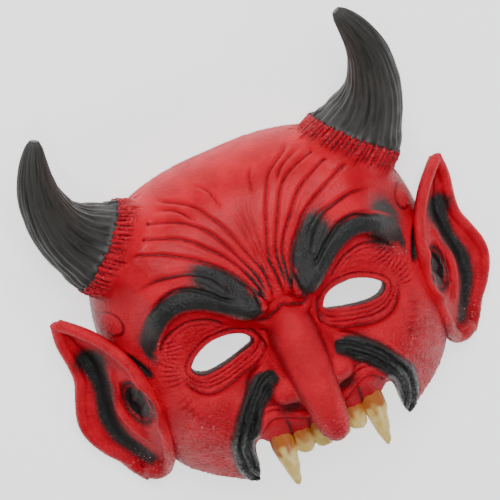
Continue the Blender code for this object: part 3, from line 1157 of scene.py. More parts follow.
@dataclass
class Carved:
    """Fine relief on a skin's points, and the paint and painted shade that go with it."""

    height: Field
    black_and_shade: Field
    crease: Field
    pebble: Field
    lining: Field

    @classmethod
    def plain(cls, count: int) -> "Carved":
        """Return bare relief and paint for so many points."""
        return cls(*(np.zeros(count) for _ in range(5)))

    def layers(self) -> dict[Layer, Field]:
        """Return the painted layers."""
        return {Layer.BLACK_AND_SHADE: self.black_and_shade, Layer.CREASE: self.crease, Layer.PEBBLE: self.pebble,
                Layer.LINING: self.lining}

    def lay_black(self, paint: Field) -> None:
        """Lay black where it is stronger than what is there: mostly airbrushed paint, in a few places painted
        shade.
        """
        self.black_and_shade = np.maximum(self.black_and_shade, paint)

    def darken(self, paint: Field) -> None:
        """Lay painted shade where it is stronger than what is there."""
        self.crease = np.maximum(self.crease, paint)

    def shade_hollows(self, depth: Field) -> None:
        """Lay painted shade in the hollows of a carved skin, by their depth."""
        self.darken(0.62 * ramp(0.04, 0.46, depth))

    def press(self, away: Field, fade: Field, half_width: float, depth: float, dark: float) -> None:
        """Press a furrow in and lay painted shade in its bottom.

        Args:
            away: Distance from the furrow's line.
            fade: Its strength along the line, from 0 to 1.
            half_width: Its half width.
            depth: Its depth.
            dark: How dark the painted shade in its bottom is.
        """
        self.height -= depth * bump(away, half_width) * fade
        self.height += 0.12 * depth * bump(np.abs(away) - 2.1 * half_width, half_width) * fade
        self.darken(dark * bump(away, 0.8 * half_width) * fade)


@dataclass
class Carving:
    """The face's fine carving, airbrushed paint and painted shade."""

    form: FaceForm
    horn: Horn
    forehead: tuple[Groove, ...] = (
        Groove(Trace(((63, 65), (56, 62.5), (44, 58.5), (31, 52), (23, 45), (12, 32), (6, 21), (5, 15))),
               half_width=1.0, depth=1.5, dark=0.8),
        Groove(Trace(((55, 70), (48, 68), (42, 66), (31, 61), (22, 53), (15, 45), (10, 36), (6.5, 25),
                      (6, 15))),
               half_width=1.0, depth=1.5, dark=0.8),
        Groove(Trace(((51, 75), (45, 73.5), (32, 70), (22, 63.5), (15.5, 55), (10, 44), (6, 32), (4.5, 20))),
               half_width=1.0, depth=1.4, dark=0.7),
        Groove(Trace(((41, 76), (33, 75), (27, 72), (21, 65))),
               half_width=0.9, depth=1.1, dark=0.5, fade=(0.3, 0.4)),
        Groove(Trace(((38, 80), (33, 78), (21, 73), (14.5, 65), (10, 57), (5, 43), (2.5, 32), (2, 16))),
               half_width=0.9, depth=1.2, dark=0.6),
        Groove(Trace(((17, 80), (11, 76), (9, 71), (7, 64))),
               half_width=0.8, depth=0.8, dark=0.4, fade=(0.3, 0.4)),
        Groove(Trace(((9, 73), (4, 63), (3, 56), (2, 42), (2, 19))),
               half_width=0.8, depth=0.8, dark=0.4, fade=(0.4, 0.1)),
        Groove(Trace(((0, 74), (0, 58), (0, 39), (0, 26))),
               half_width=0.8, depth=0.8, dark=0.4, fade=(0.4, 0.2)),
    )
    brow_furrows: tuple[Groove, ...] = (
        Groove(Trace(((63, 33), (57, 38), (50, 42), (41, 41.5), (32, 37), (25, 31), (20, 26))),
               half_width=1.1, depth=1.6, dark=1.0, fade=(0.2, 0.15)),
        Groove(Trace(((68, 42), (64, 46.5), (54, 49.5), (43, 49), (35, 47), (27, 42), (21, 34))),
               half_width=1.1, depth=1.3, dark=0.8, fade=(0.4, 0.1)),
        Groove(Trace(((11.5, 31), (10, 26), (10, 20), (14, 15), (18, 14))),
               half_width=1.1, depth=1.6, dark=0.9, fade=(0.3, 0.1)),
        Groove(Trace(((66, 11), (60, 18), (52, 22), (45, 23), (36, 20), (28, 13))),
               half_width=0.9, depth=1.4, dark=0.85, fade=(0.15, 0.1)),
        Groove(Trace(((63, 10), (57.5, 16.2), (51, 19.4), (45, 20.2), (37, 17.5), (30, 12))),
               half_width=0.7, depth=0.6, dark=0.3, fade=(0.2, 0.1)),
        Groove(Trace(((30, 36), (27, 33), (22, 29.5), (18, 26))),
               half_width=0.9, depth=0.9, dark=0.5, fade=(0.3, 0.3)),
        Groove(Trace(((37, 45), (30, 40.5), (24, 34), (20, 30))),
               half_width=0.8, depth=0.8, dark=0.6, fade=(0.3, 0.3)),
    )
    bridge: tuple[Groove, ...] = (
        Groove(Trace(((0, 14.5), (6, 12.5), (11, 10.5), (17, 13))),
               half_width=1.2, depth=1.3, dark=0.75, fade=(0.01, 0.1)),
        Groove(Trace(((0, 8), (6, 6.3), (11, 4.2), (16, 6))),
               half_width=0.8, depth=1.0, dark=0.55, fade=(0.01, 0.2)),
        Groove(Trace(((20, 9), (17.5, 4), (15.5, -3), (17, -8))),
               half_width=1.0, depth=1.2, dark=0.8, fade=(0.15, 0.3)),
    )
    # The line behind the ear's front rim, dark with painted shade between the ear and the face.
    cheek: tuple[Groove, ...] = (
        Groove(Trace(((84.8, 16.9), (78.9, 12), (74.5, 4.5), (72.3, -3))),
               half_width=1.6, depth=1.0, dark=1.0, fade=(0.05, 0.3)),
    )
    lower_lid: Trace = Trace(((19.5, 1), (21.5, -1.6), (26.5, -3.6), (33.5, -5.8), (41, -7), (48.5, -6.6),
                              (52.5, -3.5), (53.5, 0)))
    bag_edge: Trace = Trace(((16, 3), (16.5, -3), (20, -9), (30, -14.5), (41, -16.5), (51, -14.5), (57.5, -8),
                             (59, -1)))
    rib_line: Trace = Trace(((58.5, 20), (58.5, 14), (59.5, 8), (62.5, 3), (63.5, -3), (62.5, -9)))
    nick_line: Trace = Trace(((67, -13), (62, -18.5), (58.5, -25), (55, -31.5)))
    disc_place: Point2 = (80.0, 31.0)
    disc_radius: float = 5.6
    lid: Mound = Mound(1.0, (42, 13), (17, 8), 3.0)

    def carve(self, points: np.ndarray, normals: np.ndarray, lining: Field) -> Carved:
        """Return the fine relief and paint for the skin's points.

        Args:
            points: The skin's points.
            normals: Their directions out of the skin.
            lining: Which of them are on the hollow's side.

        Returns:
            The relief along each point's normal, and the painted layers.
        """
        made = Carved.plain(len(points))
        outer = np.flatnonzero(~lining)
        shown = points[outer]
        wander = 0.45 * np.stack([ripple(shown, 26, 1), ripple(shown, 26, 2)], 1)
        x, y = np.abs(shown[:, 0] + wander[:, 0]), shown[:, 1] + wander[:, 1]
        z = shown[:, 2]
        lift = z - self.form.outer_height(shown[:, 0], shown[:, 1])
        face = Carved.plain(len(shown))
        on_face = ramp(3.0, 1.2, lift)
        on_face = np.maximum(on_face, swelling(x, y, (19, -17.5), (6.5, 4.5), 3.0) * ramp(9, 6, lift))
        self._furrows(face, x, y)
        self._eyes(face, x, y)
        self._fold_and_mouth(face, x, y)
        self._cheek_marks(face, x, y, shown)
        self._brow_paint(face, x, y, shown[:, 0] > 0)
        for values in (face.height, face.black_and_shade, face.crease):
            values *= on_face
        face.height *= ramp(0.1, 0.4, normals[outer][:, 2])
        self._collar(face, shown)
        self._edges(face, shown, x, y, lift)
        self._pebbles(face, shown, normals[outer], on_face)
        made.height[outer], made.black_and_shade[outer] = face.height, face.black_and_shade
        made.crease[outer], made.pebble[outer] = face.crease, face.pebble
        made.lining = np.where(lining, 1.0, 0.0)
        return made

    def _furrows(self, face: Carved, x: Field, y: Field) -> None:
        """Press the forehead's, brows' and bridge's furrows with painted shade in their bottoms, and the line
        behind the ear's front rim, whose painted shade lies between the ear and the face.

        Args:
            face: The relief and paint that are added to.
            x, y: Places on the face.
        """
        for groove in self.forehead + self.brow_furrows + self.bridge + self.cheek:
            away, share = groove.trace.near(x, y, 5 * groove.half_width)
            fade = ramp(0, groove.fade[0], share) * ramp(0, groove.fade[1], 1 - share)
            deeper = 0.65 + 0.35 * share if groove in self.forehead else 1.0
            face.press(away, fade * deeper, 0.85 * groove.half_width, groove.depth, groove.dark)

    def _eyes(self, face: Carved, x: Field, y: Field) -> None:
        """Carve the eye's rim, the folds under it and the fine creases of its lid, with painted shade at the
        hole's edge and in the folds and creases.

        Args:
            face: The relief and paint that are added to.
            x, y: Places on the face.
        """
        ring = Trace(self.form.eye_outline + self.form.eye_outline[:1], self.form.outline_steps)
        away, _ = ring.near(x, y, 14.0)
        out = np.abs(away)
        face.height += 0.9 * bump(out - 1.6, 1.0)
        # Painted shade at the eye hole's edge.
        face.darken(0.9 * ramp(1.0, 0.2, out))
        face.press(out - 3.1, ramp(-9, -4, y) * ramp(62, 54, x), 0.7, 0.7, 0.45)
        inner, _ = self.lower_lid.near(x, y, 16.0)
        outer, share = self.bag_edge.near(x, y, 16.0)
        below = (inner < 0) & (outer > 0)
        place = np.where(below, np.abs(inner) / np.maximum(np.abs(inner) + np.abs(outer), 1e-6), 0)
        fade = np.where(below, ramp(0, 0.12, share) * ramp(0, 0.12, 1 - share), 0)
        for k, depth in enumerate((0.9, 1.1, 1.1), start=1):
            face.press((place - k / 4) * 11.0, fade, 0.8, depth, 0.45)
        away, share = self.bag_edge.near(x, y, 5.0)
        face.press(away, ramp(0, 0.1, share) * ramp(0, 0.15, 1 - share), 0.9, 1.3, 0.55)
        lid = self.lid.height(x, y)
        strokes = np.sin(1.9 * out + 0.16 * x + 1.2 * ripple(np.stack([x, y], 1), 9, 21))
        face.height += 0.2 * lid * strokes
        # Painted shade in the valleys of the lid's creases.
        face.darken(0.3 * lid * ramp(-0.4, -1.0, strokes))

    def _fold_and_mouth(self, face: Carved, x: Field, y: Field) -> None:
        """Paint and line the nose-to-cheek fold, and carve the lip and the gums; painted shade lies in the
        lines, beside the nose's wing, on the gums and under the nose.

        Args:
            face: The relief and paint that are added to.
            x, y: Places on the face.
        """
        away, share = self.form.fold_line.near(x, y, 14.0)
        start = ramp(0.0, 0.14, share)
        for offset in (-2.2, 2.2):
            face.press(away - offset, start, 0.8, 1.4, 1.0)
        for offset in (-6.4, 6.4):
            face.press(away - offset, start, 0.9, 0.8, 0.7)
        face.height += 0.35 * start * bump(away, 6.0) * np.sin(9 * share + 2.2 * away)
        narrow = 0.35 + 0.65 * ramp(0, 0.22, share)
        face.lay_black(ramp(9.0, 4.0, np.abs(away) / narrow) * ramp(0, 0.04, share))
        # Painted shadow beside the nose's wing, laid in black.
        face.lay_black(0.75 * swelling(x, y, (23.5, -26.5), (5.5, 6.5)))
        lip, share = self.form.lip_line.near(x, y, 12.0)
        middle = ramp(0.0, 0.12, share)
        for offset, depth in ((-3.0, 0.9), (-5.6, 0.7), (2.6, 1.2)):
            face.press(lip - offset, middle, 0.8, depth, 0.5)
        gum = ramp(2.2, 4.0, lip) * ramp(33, 31, x) * ramp(-62, -58, y) * ramp(-40, -44, y)
        roots = sum(bump(x - place, half) for place, half in ((4.9, 3.4), (14.6, 3.4), (25.3, 4.2)))
        face.height += 1.3 * gum * roots
        # Painted shade over the gums, darkest in the gaps between the roots.
        gaps = sum(bump(x - place, 0.8) for place in (0.0, 9.75, 19.8))
        face.darken(gum * (0.22 + 0.6 * gaps))
        # Painted shade under the nose.
        under_nose = swelling(x, y, (14, -37), (9, 4), 3.0)
        face.darken(0.75 * under_nose)

    def _cheek_marks(self, face: Carved, x: Field, y: Field, points: np.ndarray) -> None:
        """Carve the crow's feet, nicks and temple's round mark, with painted shade in the ribs' valleys and
        round the mark, and lay painted shade in black behind the ear's front rim.

        Args:
            face: The relief and paint that are added to.
            x, y: Places on the face.
            points: The skin's points, unbent.
        """
        away, share = self.rib_line.near(x, y, 9.0)
        ribs = np.sin(share * 2 * math.pi * 13 + 0.25 * away)
        band = bump(away, 5.2) * ramp(0, 0.1, share) * ramp(0, 0.1, 1 - share)
        face.height += 0.6 * band * ribs
        # Painted shade in the ribs' valleys.
        face.darken(0.3 * band * ramp(-0.2, -1.0, ribs))
        away, share = self.nick_line.near(x, y, 8.0)
        nicks = ramp(-0.2, 0.9, np.sin(share * 2 * math.pi * 7 + 0.5 * away))
        face.height += 0.95 * bump(away, 3.6) * ramp(0, 0.12, share) * ramp(0, 0.12, 1 - share) * nicks
        disc = np.hypot((np.abs(points[:, 0]) - self.disc_place[0]) / 0.8, points[:, 1] - self.disc_place[1])
        face.height += 1.1 * ramp(self.disc_radius + 0.5, self.disc_radius - 0.6, disc)
        # Painted shade round the raised mark.
        face.darken(0.7 * bump(disc - self.disc_radius - 0.5, 0.8))
        # Painted shade behind the ear's front rim, between the ear and the face, laid in black.
        away, share = self.cheek[0].trace.near(x, y, 9.0)
        behind = ramp(4.6, 1.0, np.abs(away)) * ramp(0, 0.08, share) * ramp(0, 0.25, 1 - share)
        face.lay_black(0.9 * behind)

    def _brow_paint(self, face: Carved, x: Field, y: Field, on_left: Field) -> None:
        """Lay the airbrushed black over the brows and between them, darker on the wearer's left.

        Args:
            face: The relief and paint that are added to.
            x, y: Places on the face.
            on_left: True on the wearer's left.
        """
        away, share = self.form.brow_line.near(x, y, 14.0)
        rise = 3.6 + 1.2 * ramp(0.15, 0.35, share) + 2.6 * ramp(0.4, 0.7, share)
        rise = rise - 2.0 * ramp(0.16, 0.0, share)
        lower = 5.2 - 1.6 * ramp(0.16, 0.0, share)
        band = ramp(-5.0, 3.0, away + rise) * ramp(0.6, -1.8, away - lower) * ramp(8.5, 11.5, x)
        band = band * ramp(0.0, 0.07, share)
        second = Trace(((44, 48), (34, 45.5), (26, 39.5), (18, 31))).near(x, y, 12.0)
        inner = ramp(9.5, 2.5, np.abs(second[0])) * ramp(0.0, 0.5, second[1]) * ramp(9.5, 12.5, x)
        knob = swelling(x, y, (17.8, 26), (7.2, 12.5), 3.4)
        tail = Trace(((69.5, 20), (69, 11), (66.5, 3))).near(x, y, 12.0)
        outer = ramp(4.4, 0.0, np.abs(tail[0])) * ramp(1.0, 0.3, tail[1])
        smudge = np.minimum(np.where(on_left, 1.5, 0.35) * swelling(x, y, (63, 28), (9.5, 13)), 1.0)
        between = 0.75 * ramp(14, 9, x) * swelling(x, y, (6, 30), (10, 15), 3.0)
        # The black between the brows lies only where the furrows' painted shade is.
        between = between * ramp(0.05, 0.4, face.crease)
        for paint in (band, inner, knob, outer, smudge, between):
            face.lay_black(paint)
        strip = bump(away - 5.6, 0.9) * ramp(0.05, 0.2, share)
        face.height += 0.5 * strip * (1 + 0.5 * ripple(np.stack([x, y], 1), 2.4, 31))
        face.black_and_shade *= 1 - 0.7 * bump(away + 5.4, 0.6) * ramp(0.1, 0.3, share) * ramp(0.62, 0.45, share)

    def _collar(self, face: Carved, points: np.ndarray) -> None:
        """Pleat the collars of the horns, with painted shade in the pleats' valleys, and paint their ragged
        ends.

        Args:
            face: The relief and paint that are added to.
            points: The skin's points.
        """
        one_side = folded(points)
        past, angle, reach = self.horn.around_foot(one_side)
        ring = np.stack([np.cos(angle), np.sin(angle)], 1)
        ragged = ripple(ring * 10, 2.2, 41) + 0.35 * np.sign(points[:, 0])
        near = ramp(34, 30, reach)
        length = 14.0 + 2.5 * ragged
        window = ramp(0, 6.5, past + length) * ramp(2.0, 0.6, past) * near
        wave = np.sin(self.horn.pleats * angle + 1.6 * ragged + 0.25 * past)
        face.height *= 1 - 0.8 * window
        face.height += window * (0.55 * wave + 0.25 * ripple(one_side, 2.2, 43) - 0.1)
        # Painted shade in the pleats' valleys.
        face.darken(window * ramp(0.0, -1.0, wave) * 0.8)
        tail = ramp(-15.5, -11, past) * ramp(-6, -9, past) * near
        face.lay_black(0.3 * tail * ramp(-0.4, 1.2, ripple(one_side, 5, 44)))
        line = ramp(-2.4, -1.4, past + 0.8 * ripple(ring * 24, 2.0, 42) + 0.3 * wave) * near
        face.lay_black(line)
        sunk = ramp(-1.4, -0.6, past + 0.6 * ripple(ring * 24, 2.0, 42) + 0.3 * wave) * near
        face.height -= sunk * (2.4 - 0.3 * ripple(one_side, 2.4, 45))

    def _edges(self, face: Carved, points: np.ndarray, x: Field, y: Field, lift: Field) -> None:
        """Lay black on the temple's edge, darker towards the table, and in the ear's bowl; lay painted shadow
        in the crease round the nose's wing and beside it, and painted shade below the nose.

        Args:
            face: The relief and paint that are added to.
            points: The skin's points.
            x, y: Places on the face.
            lift: How far each point stands above the plain face.
        """
        z = points[:, 2]
        past, _, _ = self.horn.around_foot(folded(points))
        # Black on the temple's low edge, darker towards the table.
        temple = ramp(22, 8, z + 3 * ripple(points, 6, 51)) * ramp(14, 24, y) * ramp(70, 55, y)
        face.lay_black(0.45 * temple * ramp(-1, -8, past))
        bowl = swelling(x, y, (84.5, -14.5), (6.2, 14.5), 3.0)
        face.lay_black(bowl_black(x - 84.5, y + 14.5))
        face.height += 0.7 * bowl * bowl_waves(x, y)
        # Painted shadow in the crease round the nose's wing.
        wing = np.hypot(x - 14.6, y + 27.0) - 8.0
        low = ramp(66, 62, z) * ramp(2, 5, lift)
        face.darken(0.6 * bump(wing, 1.3) * ramp(16, 12, x) * low)
        # Painted shadow beside the nose's wing, laid in black.
        face.lay_black(0.8 * swelling(x, y, (21.5, -22.5), (5.5, 5.0)) * ramp(66, 61, z))
        # Painted shade below the nose.
        tucked = swelling(x, y, (12, -34), (9, 5), 4.0) * ramp(64, 58, z)
        face.darken(0.8 * tucked)

    def _pebbles(self, face: Carved, points: np.ndarray, normals: np.ndarray, on_face: Field) -> None:
        """Roughen the skin where the foam shows its grain, which also places the painted glints, and lay
        painted shade on its steep sides.

        Args:
            face: The relief and paint that are added to.
            points: The skin's points.
            normals: Their directions out of the skin.
            on_face: How far each point belongs to the plain face, from 0 to 1.
        """
        x, y = np.abs(points[:, 0]), points[:, 1]
        low_cheek = ramp(-14, -34, y) * ramp(34, 48, x)
        tip = (1 - on_face) * ramp(-30, -48, y) * ramp(20, 12, x)
        smooth_top = ramp(40, 56, y)
        strip = bump(self.form.brow_line.near(x, y, 9.0)[0] - 5.4, 1.6)
        lid = self.lid.height(x, y)
        past, _, reach = self.horn.around_foot(folded(points))
        collar = ramp(-14, -9, past) * ramp(2, 0, past) * ramp(34, 30, reach)
        apex = swelling(x, y, (58, -27), (13, 13))
        rough = 0.25 * low_cheek + 0.3 * apex + 0.5 * tip + 0.6 * strip + 0.15 * lid + 0.6 * collar
        face.pebble = np.clip(0.38 + rough - 0.25 * smooth_top, 0, 1)
        # Painted shade on the steep sides, fading out over the forehead.
        steep = ramp(0.9, 0.3, normals[:, 2]) * ramp(62, 34, y)
        face.darken(0.42 * steep)
        face.height += (0.16 * low_cheek + 0.13 * tip + 0.025) * ripple(points, 2.1, 61, 30)


# Ears

@dataclass
class Ear:
    """One pointed ear: a hollow leaf with rolled rims, an inner ridge and a dark bowl."""

    wall: float = 5.0
    rim_radius: float = 3.2
    sag: float = 5.0
    voxel: float = 0.62
    cells: tuple[int, int] = (30, 90)
    rim_steps: int = 6
    rim_sides: int = 24
    soften_rounds: int = 3
    lobe_place: Point3 = (88.0, -60.0, 9.0)
    lobe_radii: Point3 = (8.5, 6.5, 6.0)
    outer_line: tuple[Point3, ...] = (
        (106, 38, 15), (107.5, 26, 12), (106.5, 12, 10), (107, 2, 9), (111, -9, 8), (114, -19, 8),
        (113.5, -28, 8), (109, -39, 7), (103, -48, 6), (99, -57, 5), (94, -64.5, 5))
    inner_line: tuple[Point3, ...] = (
        (105, 37.5, 16), (97, 32.5, 23), (91, 27, 27), (85, 19, 31), (80, 8, 35), (77.5, -3, 37),
        (76.5, -15, 38), (77, -28, 37), (79, -41, 32), (81, -52, 23), (86, -62, 11))
    groove: Trace = Trace(((101, 24), (98, 10.6), (97.5, -1), (100.5, -15), (101, -29), (96, -42), (91, -51)))
    ridge: Trace = Trace(((90, 12), (93, -2), (95, -13), (92, -27), (85, -41)))
    inner_ridge: Trace = Trace(((88.5, 1), (90.5, -8), (89.5, -19), (86, -29)))
    bowl_place: Point2 = (84.5, -14.0)
    bowl_radii: Point2 = (6.0, 15.0)
    tip_line: Trace = Trace(((104.5, 33), (100, 20), (96, 4)))

    def relief(self, x: Field, y: Field) -> Field:
        """Return the height of the ear's groove, ridge and bowl.

        Args:
            x, y: Places on the ear.

        Returns:
            Their summed height at each place.
        """
        height = -3.6 * self.groove.roll(x, y, 3.8, 0.12)
        height += 4.2 * self.ridge.roll(x, y, 2.6, 0.2)
        height -= 6.0 * swelling(x, y, self.bowl_place, self.bowl_radii, 2.6)
        return height

    def skin(self, drop: float) -> bmesh.types.BMesh:
        """Return one skin of the ear, stretched between its two rims.

        Args:
            drop: How far the skin lies below the front.

        Returns:
            The open skin.
        """

        def place(u: Field, v: Field) -> np.ndarray:
            """Return the leaf's points for places on the flat grid.

            Args:
                u, v: Places on the grid, from -0.5 to 0.5.

            Returns:
                The points, one row each.
            """
            along, across = v + 0.5, u + 0.5
            rims = []
            for line in (self.inner_line, self.outer_line):
                curve = smooth_line(line, self.rim_steps)
                shares = np.linspace(0, 1, len(curve))
                rims.append(np.stack([np.interp(along, shares, curve[:, k]) for k in range(3)], 1))
            points = rims[0] * (1 - across)[:, None] + rims[1] * across[:, None]
            middle = np.sin(np.pi * across) * np.sin(np.pi * along) ** 0.6
            points[:, 2] += middle * (self.relief(points[:, 0], points[:, 1]) - self.sag) - drop
            return points

        return plan_grid(self.cells, 0.5, place)

    def mesh(self, tool: SweptForm) -> bpy.types.Mesh:
        """Return the fused ear with its fine lines, paint and painted shade.

        Args:
            tool: The Geometry Nodes sweep.

        Returns:
            The finished ear.
        """
        leaf = shell_mesh("leaf", self.skin(0.0), self.skin(self.wall))
        rims = []
        for line in (self.outer_line, self.inner_line):
            curve = smooth_line(line, self.rim_steps)
            widths = np.full(len(curve), self.rim_radius)
            rims.append(tool.sweep([np.column_stack([curve, widths])], self.rim_sides))
        parts = [leaf, ball(self.lobe_place, self.lobe_radii), *rims]
        ear = fused("ear", parts, self.voxel, self.soften_rounds)
        points = points_of(ear)
        carved = self._carve(points, normals_of(ear))
        lifted = points + normals_of(ear) * carved.height[:, None]
        lifted[:, 2] = np.maximum(lifted[:, 2], 0.0)
        move_points(ear, lifted)
        # Painted shade in the ear's hollows, by how deep they lie.
        carved.shade_hollows(hollows(ear, HOLLOW_SHADE_ROUNDS))
        for layer, values in carved.layers().items():
            keep_layer(ear, layer, values)
        return ear

    def _carve(self, points: np.ndarray, normals: np.ndarray) -> Carved:
        """Return the ear's fine lines, airbrushed black and painted shade.

        Args:
            points: The ear's points.
            normals: Their directions out of the ear.

        Returns:
            The relief and the painted layers.
        """
        made = Carved.plain(len(points))
        x, y = points[:, 0] + 0.4 * ripple(points, 14, 71), points[:, 1] + 0.4 * ripple(points, 14, 72)
        front = ramp(-0.1, 0.35, normals[:, 2])
        groove, share = self.groove.near(x, y, 14.0)
        wide = 1 + 0.75 * bump(share - 0.12, 0.13)
        made.lay_black(ramp(8.6, 1.2, np.abs(groove) / wide) * ramp(0.0, 0.14, share))
        # Painted shade in the line of the ear's tip.
        tip, share = self.tip_line.near(x, y, 8.0)
        made.press(tip, ramp(0, 0.2, share) * ramp(0, 0.2, 1 - share), 0.8, 0.7, 0.5)
        bowl = swelling(x, y, self.bowl_place, (6.2, 14.5), 3.0)
        ring = np.hypot((x - self.bowl_place[0]) / 7.5, (y - self.bowl_place[1]) / 14.5)
        made.height += 1.2 * bump(ring - 1.1, 0.17)
        made.lay_black(bowl_black(x - self.bowl_place[0], y - self.bowl_place[1] + 0.5))
        made.height += 0.45 * bowl * bowl_waves(x, y)
        inner, share = self.inner_ridge.near(x, y, 6.0)
        made.height += 1.1 * bump(inner, 1.1) * ramp(0, 0.2, share) * ramp(0, 0.2, 1 - share)
        ridge, share = self.ridge.near(x, y, 8.0)
        made.height += 0.6 * bump(ridge - 0.4, 0.9) * ramp(0.3, 0.5, share) * ramp(0, 0.1, 1 - share)
        for values in (made.black_and_shade, made.crease, made.height):
            values *= front
        low = ramp(-30, -52, y)
        # Painted shade on the ear's steep sides.
        made.darken(0.3 * ramp(0.85, 0.3, normals[:, 2]))
        made.pebble = 0.35 + 0.55 * low
        made.height += (0.04 + 0.08 * low) * ripple(points, 2.1, 73, 30)
        under = ramp(0.1, -0.3, normals[:, 2])
        made.lining = 0.6 * under
        return made


# Teeth

@dataclass
class Teeth:
    """The upper jaw's four blunt incisors and its two fangs."""

    gum_y: float = -50.0
    gum_z: float = 49.0
    incisor_length: float = 19.0
    incisor_radius: float = 4.9
    incisor_taper: float = 0.09
    incisor_hook: float = 0.5
    incisor_places: tuple[float, ...] = (4.9, 14.6)
    fang_place: float = 25.3
    fang_length: float = 35.0
    fang_radius: float = 6.2
    fang_hook: float = 4.0
    sides: int = 48
    steps: int = 8
    flat: float = 0.82

    def _line(self, x: float, length: float, radius: float, hook: float,
              shares: Sequence[float]) -> np.ndarray:
        """Return a tooth's middle line, from inside the gum to its point, with its radii.

        Args:
            x: The tooth's place across the jaw.
            length: Its length from the gum.
            radius: Its radius at the gum.
            hook: How far its point bends back.
            shares: The radius at seven places along it, as shares.

        Returns:
            The line's points, one row each.
        """
        places = (0.0, 0.2, 0.42, 0.65, 0.84, 0.95, 1.0)
        line = [(x, self.gum_y - length * s, self.gum_z - hook * s ** 2, radius * share)
                for s, share in zip(places, shares)]
        return smooth_line(line, self.steps)

    def incisors(self, tool: SweptForm) -> bpy.types.Mesh:
        """Return the row of incisors.

        Args:
            tool: The Geometry Nodes sweep.

        Returns:
            The incisors, in one mesh.
        """
        blunt = (0.9, 1.0, 1.06, 1.08, 1.0, 0.78, 0.35)
        lines = [self._line(side.value * x, self.incisor_length - self.incisor_taper * x,
                            self.incisor_radius, self.incisor_hook, blunt)
                 for side in Side for x in self.incisor_places]
        return self._finished(tool.sweep(lines, self.sides), self.incisor_length, 0.85)

    def fang(self, tool: SweptForm, side: Side) -> bpy.types.Mesh:
        """Return one fang.

        Args:
            tool: The Geometry Nodes sweep.
            side: The side that it is on.

        Returns:
            The fang.
        """
        pointed = (0.95, 1.02, 0.88, 0.66, 0.42, 0.24, 0.03)
        line = self._line(side.value * self.fang_place, self.fang_length, self.fang_radius, self.fang_hook,
                          pointed)
        return self._finished(tool.sweep([line], self.sides), self.fang_length, 0.5)

    def _finished(self, mesh: bpy.types.Mesh, length: float, stained: float) -> bpy.types.Mesh:
        """Flatten teeth a little, roughen them and keep the stain at their roots.

        Args:
            mesh: The teeth as swept.
            length: Their length.
            stained: The share of the length that the stain reaches.

        Returns:
            The same mesh.
        """
        points = points_of(mesh)
        points[:, 2] = self.gum_z + (points[:, 2] - self.gum_z) * self.flat
        down = (self.gum_y - points[:, 1]) / length
        rough = 0.16 * ripple(points * np.array([1, 0.35, 1]), 3.2, 81)
        move_points(mesh, points + normals_of(mesh) * rough[:, None])
        keep_layer(mesh, Layer.STAIN, ramp(stained, 0.08, down + 0.07 * ripple(points, 5, 82)))
        return mesh


# Finishes

